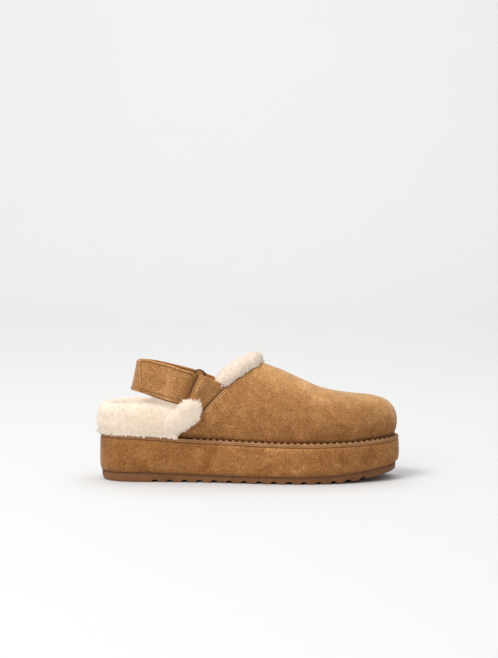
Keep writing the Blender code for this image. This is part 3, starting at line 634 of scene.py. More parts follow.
# ---- sole layers ---------------------------------------------------------------------------
def layer(name, bottom, top, wall, mat, replaces, n=420, dome=0.0, wobble=0.0, angle=32, seed=1):
    """A sole layer: rows of points up its side, then flat faces over its top and bottom."""
    rows = []
    for d, share in wall:
        p, o = around(n, d)
        z = bottom(p[:, 0]) + (top(p[:, 0]) - bottom(p[:, 0])) * share
        q = np.column_stack([p, z])
        if wobble:
            bulge = wobble * noise(q * [1, 1, 1.6], 19.0, seed) + 0.4 * wobble * noise(q, 7.0, seed + 3)
            q[:, :2] += o * (bulge * math.sin(math.pi * min(1, max(0, share))))[:, None]
        rows.append(q)
    full = []
    for d in (16.0, 8.0):
        p, _ = around(n, d)
        full.append(np.column_stack([p, bottom(p[:, 0])]))
    full += rows
    last = wall[-1][0]
    for d in (8.0, 16.0):
        p, _ = around(n, (lambda x, more=d: last(x) + more) if callable(last) else last + d)
        full.append(np.column_stack([p, top(p[:, 0])]))
    verts = np.vstack(full)
    faces = quads(len(full), n, close_v=True)
    # spans across the middle, lateral to medial, at the first and last rows
    for row, flip in ((0, False), (len(full) - 1, True)):
        p = full[row]
        heel, toe = int(np.argmin(p[:, 0])), int(np.argmax(p[:, 0]))
        lat = [(heel + k) % n for k in range((toe - heel) % n + 1)]
        med = [(heel - k) % n for k in range((heel - toe) % n + 1)]
        a = np.array(lat)[np.linspace(0, len(lat) - 1, 180).round().astype(int)]
        i = j = 0
        while i < len(lat) - 1 or j < len(med) - 1:
            step_l = i < len(lat) - 1 and (j >= len(med) - 1 or p[lat[i + 1], 0] <= p[med[j + 1], 0])
            if step_l:
                tri = (lat[i], lat[i + 1], med[j])
                i += 1
            else:
                tri = (lat[i], med[j + 1], med[j])
                j += 1
            if len(set(tri)) == 3:
                faces.append(tuple(row * n + t for t in tri))
    return make(name, verts, faces, mat, replaces, angle)


# outsole with its tread grooves
draw = column([(-133, 1.4), (-60, 2.0), (60, 2.6), (133, 2.6)], 1)
sole = layer(
    "outsole_rubber", floor_z, lambda x: seam_z(x) - GAP,
    [
        (lambda x: draw(x) + 1.0, 0.0), (lambda x: draw(x) + 0.45, 0.03), (lambda x: draw(x) + 0.2, 0.10), (lambda x: draw(x) + 0.1, 0.36),
        (lambda x: draw(x) + 0.0, 0.55), (lambda x: draw(x) + 0.0, 0.80), (lambda x: draw(x) + 0.25, 0.84), (lambda x: draw(x) + 0.25, 0.88),
        (lambda x: draw(x) + 0.0, 0.92), (lambda x: draw(x) + 0.1, 1.0),
    ],
    RUBBER, ["outsole"], n=520, angle=40,
)
cv, cf = [], []
for k in range(TREAD_COUNT):
    x = TREAD_FIRST_X + TREAD_PITCH * k
    zc = float(floor_z(x)) + TREAD_DEPTH - TREAD_R
    loop = []
    for i in range(15):
        a = math.pi * i / 14
        loop.append((x + TREAD_R * math.cos(a), zc + TREAD_R * math.sin(a)))
    loop += [(x - TREAD_R * 1.04, zc - 3.0), (x + TREAD_R * 1.04, zc - 3.0)]
    m = len(loop)
    base = len(cv)
    for y in (-60.0, 60.0):
        cv += [(px, y, pz) for px, pz in loop]
    cf += [(base + j, base + (j + 1) % m, base + m + (j + 1) % m, base + m + j) for j in range(m)]
    cf += [tuple(base + j for j in range(m))[::-1], tuple(base + m + j for j in range(m))]
cutter = make("tread_cutter", cv, cf, RUBBER, ride=False)
cut = sole.modifiers.new("tread", "BOOLEAN")
cut.operation, cut.object, cut.solver = "DIFFERENCE", cutter, "EXACT"
bpy.context.view_layer.update()
dg = bpy.context.evaluated_depsgraph_get()
made = bpy.data.meshes.new_from_object(sole.evaluated_get(dg))
sole.modifiers.clear()
sole.data = made
sole.data.shade_smooth()
sole.data.set_sharp_from_angle(angle=math.radians(34))
bpy.data.objects.remove(cutter, do_unlink=True)

wrap = layer(
    "platform_wrap", lambda x: seam_z(x), platform_z,
    [
        (2.6, 0.0), (1.5, 0.02), (0.7, 0.05), (0.2, 0.10), (-0.2, 0.18), (-0.4, 0.30), (-0.45, 0.42), (-0.45, 0.54),
        (-0.4, 0.66), (-0.28, 0.78), (-0.15, 0.88), (0.0, 0.95), (0.28, 0.985), (0.8, 1.0),
    ],
    SUEDE_WRAP, ["midsole"], n=520, wobble=0.34, angle=60,
)
_p = points_of(wrap)
# painted highlight: a lighter band along the wrap's rounded top edge, just under the welt lip
attribute(wrap, "nap_and_painted_light", patches(_p, WRAP_NAP_AND_LIGHT, 14.0) * (1 + (0.10 + 0.16 * np.exp(-(((_p[:, 0] - 26.0) / 46.0) ** 2))) * np.exp(-(((platform_z(_p[:, 0]) - _p[:, 2] - 1.5) / 1.3) ** 2))))


# welt: a lip with a fine groove, and a row of raised bars along its inner edge
def build_welt():
    n = 640
    shape = [
        (0.8, 0.0), (0.32, 0.05), (0.10, 0.15), (0.05, 0.34), (0.12, 0.44), (0.5, 0.50), (0.12, 0.56), (0.02, 0.66),
        (0.10, 0.82), (0.45, 0.94), (1.1, 1.0), (2.3, 1.0), (3.2, 0.98), (6.0, 0.98), (12.3, 0.98), (12.3, 0.0),
    ]
    rows = []
    for d, share in shape:
        p, _ = around(n, d)
        rows.append(np.column_stack([p, platform_z(p[:, 0]) + GAP + WELT_T * share]))
    make("welt_strip", np.vstack(rows), quads(len(rows), n, True, True), WELT_RUBBER, ["welt"], 50)
    # raised bars
    p, o = around(4000, 3.0)
    s = np.linspace(0, RIM_S[-1], 4000, endpoint=False)
    keep = (p[:, 0] > -50.0)
    idx = np.where(keep)[0]
    order = idx
    gaps = np.where(np.diff(order) > 1)[0]
    if len(gaps):
        order = np.concatenate([order[gaps[0] + 1:], order[: gaps[0] + 1]])
    q, oo = p[order], o[order]
    arc = np.concatenate([[0], np.cumsum(np.linalg.norm(np.diff(q, axis=0), axis=1))])
    pitch, along = 5.7, 3.9
    verts, faces = [], []
    tooth = []
    for u in np.linspace(-1, 1, 7):
        row = []
        r = math.sqrt(max(0.0, 1 - abs(u) ** 3.0))
        for a in np.linspace(0, math.pi, 7):
            row.append((u, math.cos(a) * (0.35 + 0.65 * r), math.sin(a) * (0.12 + 0.88 * r)))
        tooth.append(row)
    k = 0
    at = 2.0
    while at < arc[-1] - 2:
        f = lambda v: np.array([np.interp(v, arc, q[:, 0]), np.interp(v, arc, q[:, 1])])
        c, e = f(at), f(at + 0.5)
        t2 = unit(e - c)
        o2 = np.array([t2[1], -t2[0]])
        z0 = float(welt_top(c[0]))
        skew = 0.20
        base = len(verts)
        for row in tooth:
            for u, w, h in row:
                xy = c + t2 * (u * along / 2 + skew * w) + o2 * (w * 0.95 + 0.1)
                verts.append((xy[0], xy[1], z0 - 0.25 + h * 1.25))
        m = len(tooth[0])
        for i in range(len(tooth) - 1):
            for j in range(m - 1):
                faces.append((base + i * m + j, base + i * m + j + 1, base + (i + 1) * m + j + 1, base + (i + 1) * m + j))
            faces.append((base + i * m + m - 1, base + i * m, base + (i + 1) * m, base + (i + 1) * m + m - 1))
        faces.append(tuple(base + j for j in range(m))[::-1])
        faces.append(tuple(base + (len(tooth) - 1) * m + j for j in range(m)))
        at += pitch
        k += 1
    make("welt_bars", verts, faces, WELT_RUBBER, (), 60)
    # low dark bead that the bars stand on: painted shadow in the gaps between them
    bead = []
    prof = [(4.6, -0.1), (4.6, 0.9), (4.1, 0.75), (3.4, 0.45), (2.5, 0.35), (2.1, 0.2), (1.9, -0.1)]
    for d, h in prof:
        p, _ = around(n, d)
        bead.append(np.column_stack([p, welt_top(p[:, 0]) + h]))
    make("welt_shadow_bead", np.vstack(bead), quads(len(bead), n, True, True), WELT_SHADOW, (), 60)


build_welt()


# ---- upper -----------------------------------------------------------------------------------
FEATHER = inset(FEATHER_INSET)
FEATHER_TIP = float(FEATHER[:, 0].max())


def feather_side(side, n, power=1.12):
    tip, heel = int(np.argmax(FEATHER[:, 0])), int(np.argmin(FEATHER[:, 0]))
    if side < 0:
        path, out = FEATHER[heel : tip + 1], RIM_OUT[heel : tip + 1]
    else:
        path = np.vstack([FEATHER[tip:], FEATHER[: heel + 1]])[::-1]
        out = np.vstack([RIM_OUT[tip:], RIM_OUT[: heel + 1]])[::-1]
    front = path[:, 0] > COLLAR_X
    k = int(np.argmax(front))
    f = (COLLAR_X - path[k - 1, 0]) / (path[k, 0] - path[k - 1, 0])
    start = path[k - 1] + f * (path[k] - path[k - 1])
    path, out = np.vstack([start, path[k:]]), np.vstack([out[k], out[k:]])
    s = np.concatenate([[0], np.cumsum(np.linalg.norm(np.diff(path, axis=0), axis=1))])
    at = np.linspace(0, s[-1], n + 1)
    at = s[-1] * (1 - (1 - at / s[-1]) ** power)
    pick = lambda a: np.stack([np.interp(at, s, a[:, c]) for c in (0, 1)], 1)
    return pick(path), unit(pick(out))


def rib(foot, out, n):
    share = (foot[0] - COLLAR_X) / (FEATHER_TIP - COLLAR_X)
    rx = THROAT_X + (RIDGE_END_X - THROAT_X) * share
    top = np.array([rx, float(ridge_y(rx))])
    sq, bel = float(squareness(foot[0])), float(belly(foot[0]))
    z0 = float(welt_top(foot[0])) + GAP
    run = top - foot
    inward = (run @ -out) * -out
    along = run - inward
    frontness = max(0.0, out[0]) ** 2
    a = np.linspace(0, math.pi / 2, n + 1)
    a = a - 0.10 * np.sin(2 * a)
    c, g = np.clip(np.cos(a), 0, 1) ** (2 / sq), np.sin(a) ** (2 / sq)
    xy = foot + along * lean_of(g)[:, None] + inward * (1 - c)[:, None] + out * (bel * np.sin(math.pi * g ** 0.85))[:, None]
    crown = (1 - frontness) * float(ridge_z(rx)) + frontness * ridge_z(xy[:, 0])
    return np.column_stack([xy, z0 + (crown - z0) * g])


def upper_grid(n_len, n_up):
    fl, ol = feather_side(-1, n_len)
    fm, om = feather_side(1, n_len)
    return np.array([np.vstack([rib(fl[k], ol[k], n_up), rib(fm[k], om[k], n_up)[-2::-1]]) for k in range(n_len + 1)])


def grid_normals(g):
    dk, dj = np.gradient(g, axis=0), np.gradient(g, axis=1)
    dk[-1] = g[-1] - g[-2]
    n = unit(np.cross(dk, dj))
    if n[len(g) // 2, g.shape[1] // 2, 2] < 0:
        n = -n
    n[-1] = unit(n[-2] + n[-2][::-1])
    return n


NL, NU = 150, 56
GRID = upper_grid(NL, NU)
NORM = grid_normals(GRID)
C, CN = GRID[0], NORM[0]


def build_upper():
    m = GRID.shape[1]
    k = np.arange(NL + 1)[:, None] / NL
    away = np.minimum(1, np.minimum(np.arange(m), np.arange(m)[::-1])[None, :] / 6.0) * smooth01(k * 9)
    tip = smooth01((1 - k) * 8)
    wave = (0.45 * noise(GRID, 26.0, 5) + 0.16 * noise(GRID, 9.0, 6)) * away * tip
    outer = GRID + NORM * wave[..., None]
    lip = 1 - 0.55 * np.exp(-(np.linalg.norm(GRID - C[None], axis=2) / 1.1) ** 2)
    outer = outer - NORM * (0.5 * (1 - lip))[..., None]
    inner = GRID - NORM * 1.9
    edge = np.linalg.norm(GRID - C[None], axis=2)
    verts = np.vstack([outer.reshape(-1, 3), inner.reshape(-1, 3)])
    nv = (NL + 1) * m
    faces = quads(NL + 1, m)
    faces += [tuple(f[::-1]) for f in quads(NL + 1, m, base=nv)]
    mats = [0] * len(faces)
    rim = [(j, j + 1, nv + j + 1, nv + j) for j in range(m - 1)]
    side = [(i * m, (i + 1) * m, nv + (i + 1) * m, nv + i * m) for i in range(NL)]
    side += [(i * m + m - 1, (i + 1) * m + m - 1, nv + (i + 1) * m + m - 1, nv + i * m + m - 1) for i in range(NL)]
    faces += rim + side
    mats += [1] * len(rim) + [0] * len(side)
    # the last row folds onto itself at the tip of the toe
    def join(i):
        half, local = divmod(i, nv)
        r, j = divmod(local, m)
        return half * nv + r * m + (m - 1 - j if (r == NL and j > NU) else j)
    faces2, mats2 = [], []
    for f, a in zip(faces, mats):
        g = []
        for v in (join(i) for i in f):
            if v not in g:
                g.append(v)
        if len(g) > 2:
            faces2.append(tuple(g))
            mats2.append(a)
    ob = make("upper_suede", verts, faces2, [SUEDE, EDGE_DARK], ["upper"], 60, weld=0, face_mat=mats2)
    attribute(ob, "edge", np.concatenate([edge.ravel(), edge.ravel()]))
    bm = bmesh.new()
    bm.from_mesh(ob.data)
    bmesh.ops.delete(bm, geom=[v for v in bm.verts if not v.link_faces], context="VERTS")
    bmesh.ops.recalc_face_normals(bm, faces=bm.faces)
    bm.to_mesh(ob.data)
    bm.free()
    ob.data.shade_smooth()
    ob.data.set_sharp_from_angle(angle=math.radians(60))
    p = points_of(ob)
    foot = p[:, 2] - welt_top(p[:, 0])
    # painted shade: the upper darker just above the welt, under its lower edge
    attribute(ob, "nap_and_painted_light", patches(p, UPPER_NAP_AND_LIGHT, 12.0) * (1 - 0.44 * smooth01((4.8 - foot) / 4.6)) * (1 - 0.52 * smooth01((1.7 - foot) / 1.4)))
    return ob


# the upper's cut rim: its own dark tone with painted shade
EDGE_DARK = rubber_material("suede_raw_edge_and_shade", srgb(104, 66, 38), srgb(128, 84, 50), 0.9)
build_upper()


def build_lining():
    """The pile inside the upper: a lumpy coat on the suede's inside."""
    step = 2
    g, n = GRID[::step, ::step], NORM[::step, ::step]
    m = g.shape[1]
    rows = g.shape[0]
    mid = (m - 1) // 2
    k = np.arange(rows)[:, None] / (rows - 1)
    tip = smooth01((1 - k) * 14)
    lump = 0.8 * noise(g, 5.0, 11) + 0.5 * noise(g, 2.6, 12)
    back = g - n * 2.2
    foot = np.minimum(g[..., 2] - g[:, :1, 2], g[..., 2] - g[:, -1:, 2])
    face = g - n * (6.3 + lump * tip + 1.7 * np.exp(-((foot / 3.0) ** 2)) * tip)[..., None]
    back[..., 0] += 1.2 * (k == 0)
    face[..., 0] += 1.2 * (k == 0)
    lift = np.zeros_like(face)
    lift[:, 0, 2] = lift[:, -1, 2] = 0.4
    verts = np.vstack([(back + lift).reshape(-1, 3), (face + lift).reshape(-1, 3)])
    nv = rows * m
    faces = quads(rows, m) + [tuple(f[::-1]) for f in quads(rows, m, base=nv)]
    faces += [(j, j + 1, nv + j + 1, nv + j) for j in range(m - 1)]
    for j in (0, m - 1):
        faces += [(i * m + j, (i + 1) * m + j, nv + (i + 1) * m + j, nv + i * m + j) for i in range(rows - 1)]

    def join(i):
        half, local = divmod(i, nv)
        r, j = divmod(local, m)
        return half * nv + r * m + (m - 1 - j if (r == rows - 1 and j > mid) else j)

    out = []
    for f in faces:
        q = []
        for v in (join(i) for i in f):
            if v not in q:
                q.append(v)
        if len(q) > 2:
            out.append(tuple(q))
    ob = make("lining_pile", verts, out, FUR_INNER, (), None)
    deep = lambda p, nn: (p[:, 0] < 42)
    inside = face[: int(rows * 0.62)].reshape(-1, 3)
    nn = -n[: int(rows * 0.62)].reshape(-1, 3)
    rng = np.random.default_rng(5)
    w = np.clip(1.25 - (inside[:, 0] + 60) / 130, 0.15, 1)
    pick = rng.choice(len(inside), 20000, p=w / w.sum())
    p = inside[pick] + rng.normal(size=(20000, 3)) * 0.9
    pile("lining_hairs", p, nn[pick], 3.2, 0.5, FUR_LINING, 31, lock=2.6, soft=0.7, curly=0.12)
    return ob


build_lining()


# ---- insole ------------------------------------------------------------------------------------
def build_insole():
    top = column([(-133, 47.0), (-95, 46.6), (-60, 46.5), (-25, 45.8), (15, 43.6), (60, 42.6), (100, 43.6), (133, 45.0)], 1)
    lumpy = lambda x: top(x) - 1.8
    ob = layer(
        "insole_pile", lambda x: platform_z(x) + GAP, lumpy,
        [(INNER_INSET + 0.6, 0.0), (INNER_INSET, 0.3), (INNER_INSET, 0.62), (INNER_INSET + 0.7, 0.86), (INNER_INSET + 2.2, 0.97), (INNER_INSET + 4.0, 1.0)],
        FUR_INNER, ["insole"], n=300, angle=None,
    )
    rng = np.random.default_rng(9)
    p0, _ = around(400, INNER_INSET + 0.3)
    heel, toe = int(np.argmin(p0[:, 0])), int(np.argmax(p0[:, 0]))
    lat = np.array([p0[(heel + k) % 400] for k in range((toe - heel) % 400 + 1)])
    med = np.array([p0[(heel - k) % 400] for k in range((heel - toe) % 400 + 1)])
    n = 20000
    x = -118 + 150 * rng.random(n) ** 1.15
    yl, ym = np.interp(x, lat[:, 0], lat[:, 1]), np.interp(x, med[:, 0], med[:, 1])
    y = yl + (ym - yl) * rng.random(n)
    p = np.column_stack([x, y, lumpy(x) - 0.1 + 0.4 * noise(np.column_stack([x, y, x * 0]), 6.0, 21)])
    nn = np.tile([0.0, 0.0, 1.0], (n, 1))
    pile("insole_hairs", p, nn, 3.4, 0.5, FUR_LINING, 41, lock=3.0, gather=0.6, lean=(0.25, 0.0, 0.0), curl=0.3, soft=0.55, spread=0.8, curly=0.12)
    return ob


insole = build_insole()


# ---- heel rim ------------------------------------------------------------------------------------
def rim_rings(n, section, swell=0.0, end_shift=3.4):
    path, out = inset(5.5), RIM_OUT
    half = len(path) // 2
    path, out = np.roll(path, half, axis=0), np.roll(out, half, axis=0)
    heel = int(np.argmin(path[:, 0]))
    lo = hi = heel
    while path[lo, 0] < COLLAR_X - 1.0:
        lo -= 1
    while path[hi, 0] < COLLAR_X - 1.0:
        hi += 1
    path, out = path[lo : hi + 1], out[lo : hi + 1]
    if path[0, 1] > path[-1, 1]:
        path, out = path[::-1], out[::-1]
    s = np.concatenate([[0], np.cumsum(np.linalg.norm(np.diff(path, axis=0), axis=1))])
    at = np.linspace(0, s[-1], n)
    px, py = np.interp(at, s, path[:, 0]), np.interp(at, s, path[:, 1])
    o = unit(np.stack([np.interp(at, s, out[:, 0]), np.interp(at, s, out[:, 1])], 1))
    near = np.minimum(at, s[-1] - at)
    lean = 0.97 * np.clip(1 - near / 62.0, 0, None) ** 1.4
    z0 = welt_top(px) + 1.6 * GAP
    tuck = np.clip(1 - near / 5.2, 0, None) ** 2
    end, thin = 1 - 0.28 * tuck, 1 - 0.30 * tuck
    push = end_shift * np.clip(1 - near / 5.2, 0, 1) ** 2
    rings = []
    for off, share in section:
        z = z0 + (rim_top(near) - z0) * share * end
        rings.append(np.column_stack([px + o[:, 0] * off * thin + lean * (z - z0) - push, py + o[:, 1] * off * thin, z]))
    return np.stack(rings, 1), o, near


def finer(section, per=4):
    return [tuple(v) for v in through(section, per)]


def build_heel_rim():
    sec = finer(RIM_SECTION, 4)
    sec = [(o * (0.74 if o > 0 else 0.93), s * 0.965) for o, s in sec]
    rings, o, near = rim_rings(150, sec)
    flat = rings.reshape(-1, 3)
    centre = rings.mean(1, keepdims=True)
    dirn = unit(rings - centre)
    free = np.array([s for _, s in sec])
    lump = (1.0 * noise(rings, 8.0, 51) + 0.7 * noise(rings, 3.4, 52)) * smooth01(free * 5)[None, :]
    rings = rings + dirn * lump[..., None]
    n, m = rings.shape[:2]
    verts = rings.reshape(-1, 3)
    faces = quads(n, m, close_v=True)
    faces += [tuple(range(m))[::-1], tuple((n - 1) * m + j for j in range(m))]
    body = make("heel_rim_ground", verts, faces, FUR_BODY, ["heel_rim"], None)
    outside = lambda p, nn: (p[:, 2] > 41.5) & ((nn[:, 2] > -0.4))
    p, nn = surface_samples(body, 42000, 61, outside)
    long = lambda q: 2.8 + 0.6 * noise(q, 14.0, 62)
    # the pile lies outward and down on the outside, up over the top
    pile("heel_rim_hairs", p, nn, long, 0.6, FUR, 63, lock=2.6, gather=0.5, lean=(0, 0, -0.10), curl=0.3, soft=0.6, curly=0.18, ragged=0.3)
    # hem of the pile, hanging over the edge of the welt
    rng = np.random.default_rng(64)
    m2 = 5200
    low, oo, nr = rim_rings(400, [(5.2, 0.06)])
    low = low[:, 0]
    pick = rng.integers(0, 400, m2)
    q = low[pick] + rng.normal(size=(m2, 3)) * [0.8, 0.8, 0.9]
    q[:, 2] = np.maximum(q[:, 2], welt_top(q[:, 0]) + 0.5)
    nrm = unit(np.column_stack([oo[pick], np.full(m2, -0.35)]))
    wave = lambda v: 3.0 + 1.4 * noise(v, 9.0, 65)
    pile("heel_rim_hem", q, nrm, wave, 0.5, FUR, 66, lock=2.8, gather=0.5, lean=(0, 0, -0.12), soft=0.7, curly=0.4)
    return body


heel_body = build_heel_rim()


def blob_tube(name, line, radii, mats, seed, spin=24, lump=0.8):
    """A soft roll along a line; radii are (in the line's upright plane, sideways)."""
    line, radii = np.array(line, float), np.array(radii, float)
    dense = through(line, 10)
    at = np.linspace(0, 1, len(dense))
    r = np.stack([np.interp(at, np.linspace(0, 1, len(radii)), radii[:, c]) for c in (0, 1)], 1)
    t = unit(np.gradient(dense, axis=0))
    side = unit(np.stack([t[:, 2] * 0, np.ones(len(t)), np.zeros(len(t))], 1))
    side = unit(side - t * (side * t).sum(1, keepdims=True))
    up = np.cross(t, side)
    rows = []
    ends = np.sqrt(np.clip(1 - np.abs(2 * at - 1) ** 5, 0.02, 1))
    for k in range(len(dense)):
        a = np.linspace(0, 2 * math.pi, spin, endpoint=False)
        rows.append(dense[k] + (up[k] * np.cos(a)[:, None] * r[k, 0] + side[k] * np.sin(a)[:, None] * r[k, 1]) * ends[k])
    rows = np.array(rows)
    dirn = unit(rows - dense[:, None])
    rows = rows + dirn * (lump * noise(rows, 5.0, seed))[..., None]
    n, m = rows.shape[:2]
    faces = quads(n, m, close_v=True) + [tuple(range(m))[::-1], tuple((n - 1) * m + j for j in range(m))]
    return make(name, rows.reshape(-1, 3), faces, mats, (), None)


def build_puffs():
    """The rim's front ends, where the pile stands proud in a soft roll beside the strap."""
    for tag, side in (("lateral", -1), ("medial", 1)):
        y = 1.0 if side < 0 else 0.93
        line = [(-75, 30.8, 49.5), (-68.5, 33.2, 51.6), (-61.5, 36.2, 55.6), (-55.2, 38.6, 59.5), (-50.8, 40.2, 63.3), (-46.0, 41.0, 67.0)]
        line = [(a, side * b * y, c) for a, b, c in line]
        radii = [(4.6, 1.8), (6.0, 3.0), (6.1, 3.6), (6.3, 4.0), (6.4, 3.6), (5.2, 2.6)]
        body = blob_tube(f"rim_roll_{tag}", line, radii, FUR_BODY, 71 + side, lump=1.1)
        keep = lambda p, nn: nn[:, 1] * side > -0.45
        p, nn = surface_samples(body, 10000, 73 + side, keep)
        pile(f"rim_roll_hairs_{tag}", p, nn, lambda q: 3.0 + 1.5 * smooth01((q[:, 0] + 80) / 25), 0.58, FUR, 77 + side, lock=2.5, gather=0.85, lean=(0.05, 0.1 * side, 0.05), curl=0.34, soft=0.45, spread=0.7, curly=0.35, ragged=0.5)


build_puffs()


# ---- collar roll -----------------------------------------------------------------------------------
def collar_at(z, side):
    mid = len(C) // 2
    part = C[: mid + 1] if side < 0 else C[mid:][::-1]
    k = np.interp(z, part[:, 2], np.arange(len(part)))
    return k if side < 0 else len(C) - 1 - k


_t = unit(np.gradient(C, axis=0))
CE = unit(np.cross(_t, CN))
if CE[len(C) // 2, 0] > 0:
    CE = -CE


def collar_frame(s):
    s = np.atleast_1d(s)
    idx = np.arange(len(C))
    pick = lambda a: np.stack([np.interp(s, idx, a[:, k]) for k in range(3)], 1)
    return pick(C), unit(pick(CN)), unit(pick(CE))


def build_collar_roll():
    j0, j1 = collar_at(67.5, -1), collar_at(67.5, 1)
    s = np.linspace(j0, j1, 150)
    p, nn, e = collar_frame(s)
    tab_l, tab_m = collar_at(82.2, -1), collar_at(83.6, 1)
    per = NU / 11.0
    inside = np.minimum(s - tab_l, tab_m - s) / per
    full = smooth01(np.clip(inside + 0.30, 0, None) / 0.42)
    crown = np.clip(np.clip(inside, 0, None) / ((tab_m - tab_l) / 2 / per), 0, 1)
    high = 5.6 + 5.6 * full + 1.4 * crown
    outer = -6.6 + (8.8 + 3.2 * crown) * full
    inner = -9.8
    sec = finer(FUR_ROLL, 4)
    rings = []
    for off, share in sec:
        rings.append(p + nn * (inner + (outer - inner) * off)[:, None] + e * (1.0 + (high * 0.97 - 1.0) * share)[:, None])
    rings = np.stack(rings, 1)
    centre = rings.mean(1, keepdims=True)
    dirn = unit(rings - centre)
    lump = 1.7 * noise(rings, 9.0, 81) + 0.7 * noise(rings, 3.6, 82)
    rings = rings + dirn * (lump * (0.35 + 0.65 * full[:, None]))[..., None]
    n, m = rings.shape[:2]
    faces = quads(n, m, close_v=True) + [tuple(range(m))[::-1], tuple((n - 1) * m + j for j in range(m))]
    body = make("collar_roll_ground", rings.reshape(-1, 3), faces, FUR_BODY, ["collar_fur"], None)
    q, qn = surface_samples(body, 22000, 83)
    top = float(C[len(C) // 2, 2])
    reach = lambda v: np.where(v[:, 2] > 84.0, 3.2, 2.2) + 0.6 * noise(v, 7.0, 84)
    pile("collar_roll_hairs", q, qn, reach, 0.5, FUR_COLLAR, 85, lock=2.8, gather=0.66, lean=(0.0, 0.0, 0.06), curl=0.3, soft=0.5, spread=0.7, curly=0.25, ragged=0.6)


build_collar_roll()


# ---- strap -------------------------------------------------------------------------------------------
def collar_point(z, side, depth, away):
    p, nn, e = collar_frame(collar_at(z, side))
    return p[0] + nn[0] * -depth + e[0] * away


m_top, m_low = collar_point(83.5, 1, 3.0, 0.1), collar_point(60.5, 1, 3.0, 0.1)
m_low = m_low + unit(m_low - m_top) * 0.5
ROWS = STRAP_LATERAL + STRAP_MEDIAL + [(*m_top, *m_low)]
TOP = through([(r[0], r[1], r[2]) for r in ROWS], 14)
LOW = through([(r[3], r[4], r[5]) for r in ROWS], 14)
MID = (TOP + LOW) / 2
W = unit(TOP - LOW)
N = unit(np.cross(W, unit(np.gradient(MID, axis=0))))
if N[2, 1] > 0:
    N = -N
S = np.concatenate([[0], np.cumsum(np.linalg.norm(np.diff(MID, axis=0), axis=1))])
HALF = np.linalg.norm(TOP - LOW, axis=1) / 2
EXT = unit(MID[0] - MID[1])


def place(u, d, w_mm=0.0):
    """A point on the strap: u along it from the loop, d out from its inner layer, w_mm up its width."""
    if u < 0:
        base, ww, nv = MID[0] + EXT * -u, W[0], N[0]
    else:
        f = lambda a: np.array([np.interp(u, S, a[:, k]) for k in range(3)])
        base, ww, nv = f(MID), unit(f(W)), unit(f(N))
    return base + nv * d + ww * w_mm


def half_at(u):
    h = float(np.interp(max(u, 0), S, HALF))
    return h if u > S[-1] - 25 else min(h, STRAP_W / 2)


def soft_band(name, path2d, at, halves, thick, mats, replaces=(), wave=0.0, seed=0, across=9, crown=0.0, tone=None):
    """A sewn band of even thickness with rounded edges."""
    p = np.array(path2d, float)
    t = unit(np.gradient(p, axis=0))
    t[0], t[-1] = unit(p[1] - p[0]), unit(p[-1] - p[-2])
    q = np.stack([-t[:, 1], t[:, 0]], 1)
    h = thick / 2
    edge = [(0.0, h * 0.35), (0.12, h * 0.72), (0.45, h * 0.94), (1.1, h), (2.0, h * 0.86), (2.8, h)]
    rings, tones = [], []
    for i in range(len(p)):
        top, low = halves(i)
        ring = []
        ups = [(top - a, b) for a, b in edge]
        inner = np.linspace(top - 4.5, -low + 4.5, across)
        ups += [(v, h + crown * (1 - (2 * k / (across - 1) - 1) ** 2)) for k, v in enumerate(inner)]
        ups += [(-low + a, b) for a, b in edge[::-1]]
        both = ups + [(w, -b) for w, b in ups[::-1]]
        for w, d in both:
            u2 = p[i] + q[i] * d
            ring.append(at(u2[0], u2[1], w))
            rim = min(top - w, w + low)
            if tone:
                tones.append(tone(i, u2, w, rim, d))
        rings.append(ring)
    rings = np.array(rings)
    if wave:
        nrm = unit(np.array([at(p[i][0], p[i][1] + 1.0, 0) - at(p[i][0], p[i][1], 0) for i in range(len(p))]))
        rings = rings + nrm[:, None] * (wave * noise(rings, 16.0, seed, 1))[..., None]
    n, m = rings.shape[:2]
    faces = quads(n, m, close_v=True)
    k = m // 2
    per_face = [1 if (j in (m - 1, k - 1)) or (j % k in (0, 1, k - 2, k - 3)) and j % k != k - 1 and (j % k in (0, k - 2)) else 0 for j in range(m)] * (n - 1)
    faces += [tuple(range(m))[::-1], tuple((n - 1) * m + j for j in range(m))]
    per_face += [1, 1]
    ob = make(name, rings.reshape(-1, 3), faces, mats, replaces, 70, weld=0, face_mat=per_face)
    attribute(ob, "nap_and_painted_light", tones if tones else np.ones(n * m))
    return ob, rings


D_IN, D_OUT = -STRAP_T / 2, LAYER_GAP + STRAP_T / 2
R_FOLD = (D_OUT - D_IN) / 2
END_U = 48.2


def lap_half(u):
    """Half widths of the outer layer near its rounded end."""
    k = max(0.0, 1 - (END_U - u) / 6.0)
    return (STRAP_W / 2) * (1 - (1 - math.sqrt(max(0.0, 1 - k * k))) * 0.36)


def skew(u, d, w):
    """The outer layer's free end is cut at a slant: further round at its upper corner."""
    if d < LAYER_GAP / 2:
        return u
    return u + 5.0 * (w / (STRAP_W / 2) - 1) * smooth01((u - 14) / (END_U - 14))


def drop(u):
    """How far the outer layer's upper edge lies below the inner layer's."""
    return -0.7 * float(smooth01(u / 4.0)) - 1.1 * float(smooth01((u - 9.0) / 12.0))


def below(u, most, length):
    """How far a layer's lower edge reaches below its line, most beside the loop."""
    return most * float(smooth01((u + 0.5) / 4.0)) * float(1 - smooth01((u - 6.0) / length))


def puff_out(u):
    return 0.55 * math.exp(-(((u - 14.0) / 4.5) ** 2)) - 0.25 * math.exp(-(((u - 24.0) / 4.0) ** 2))


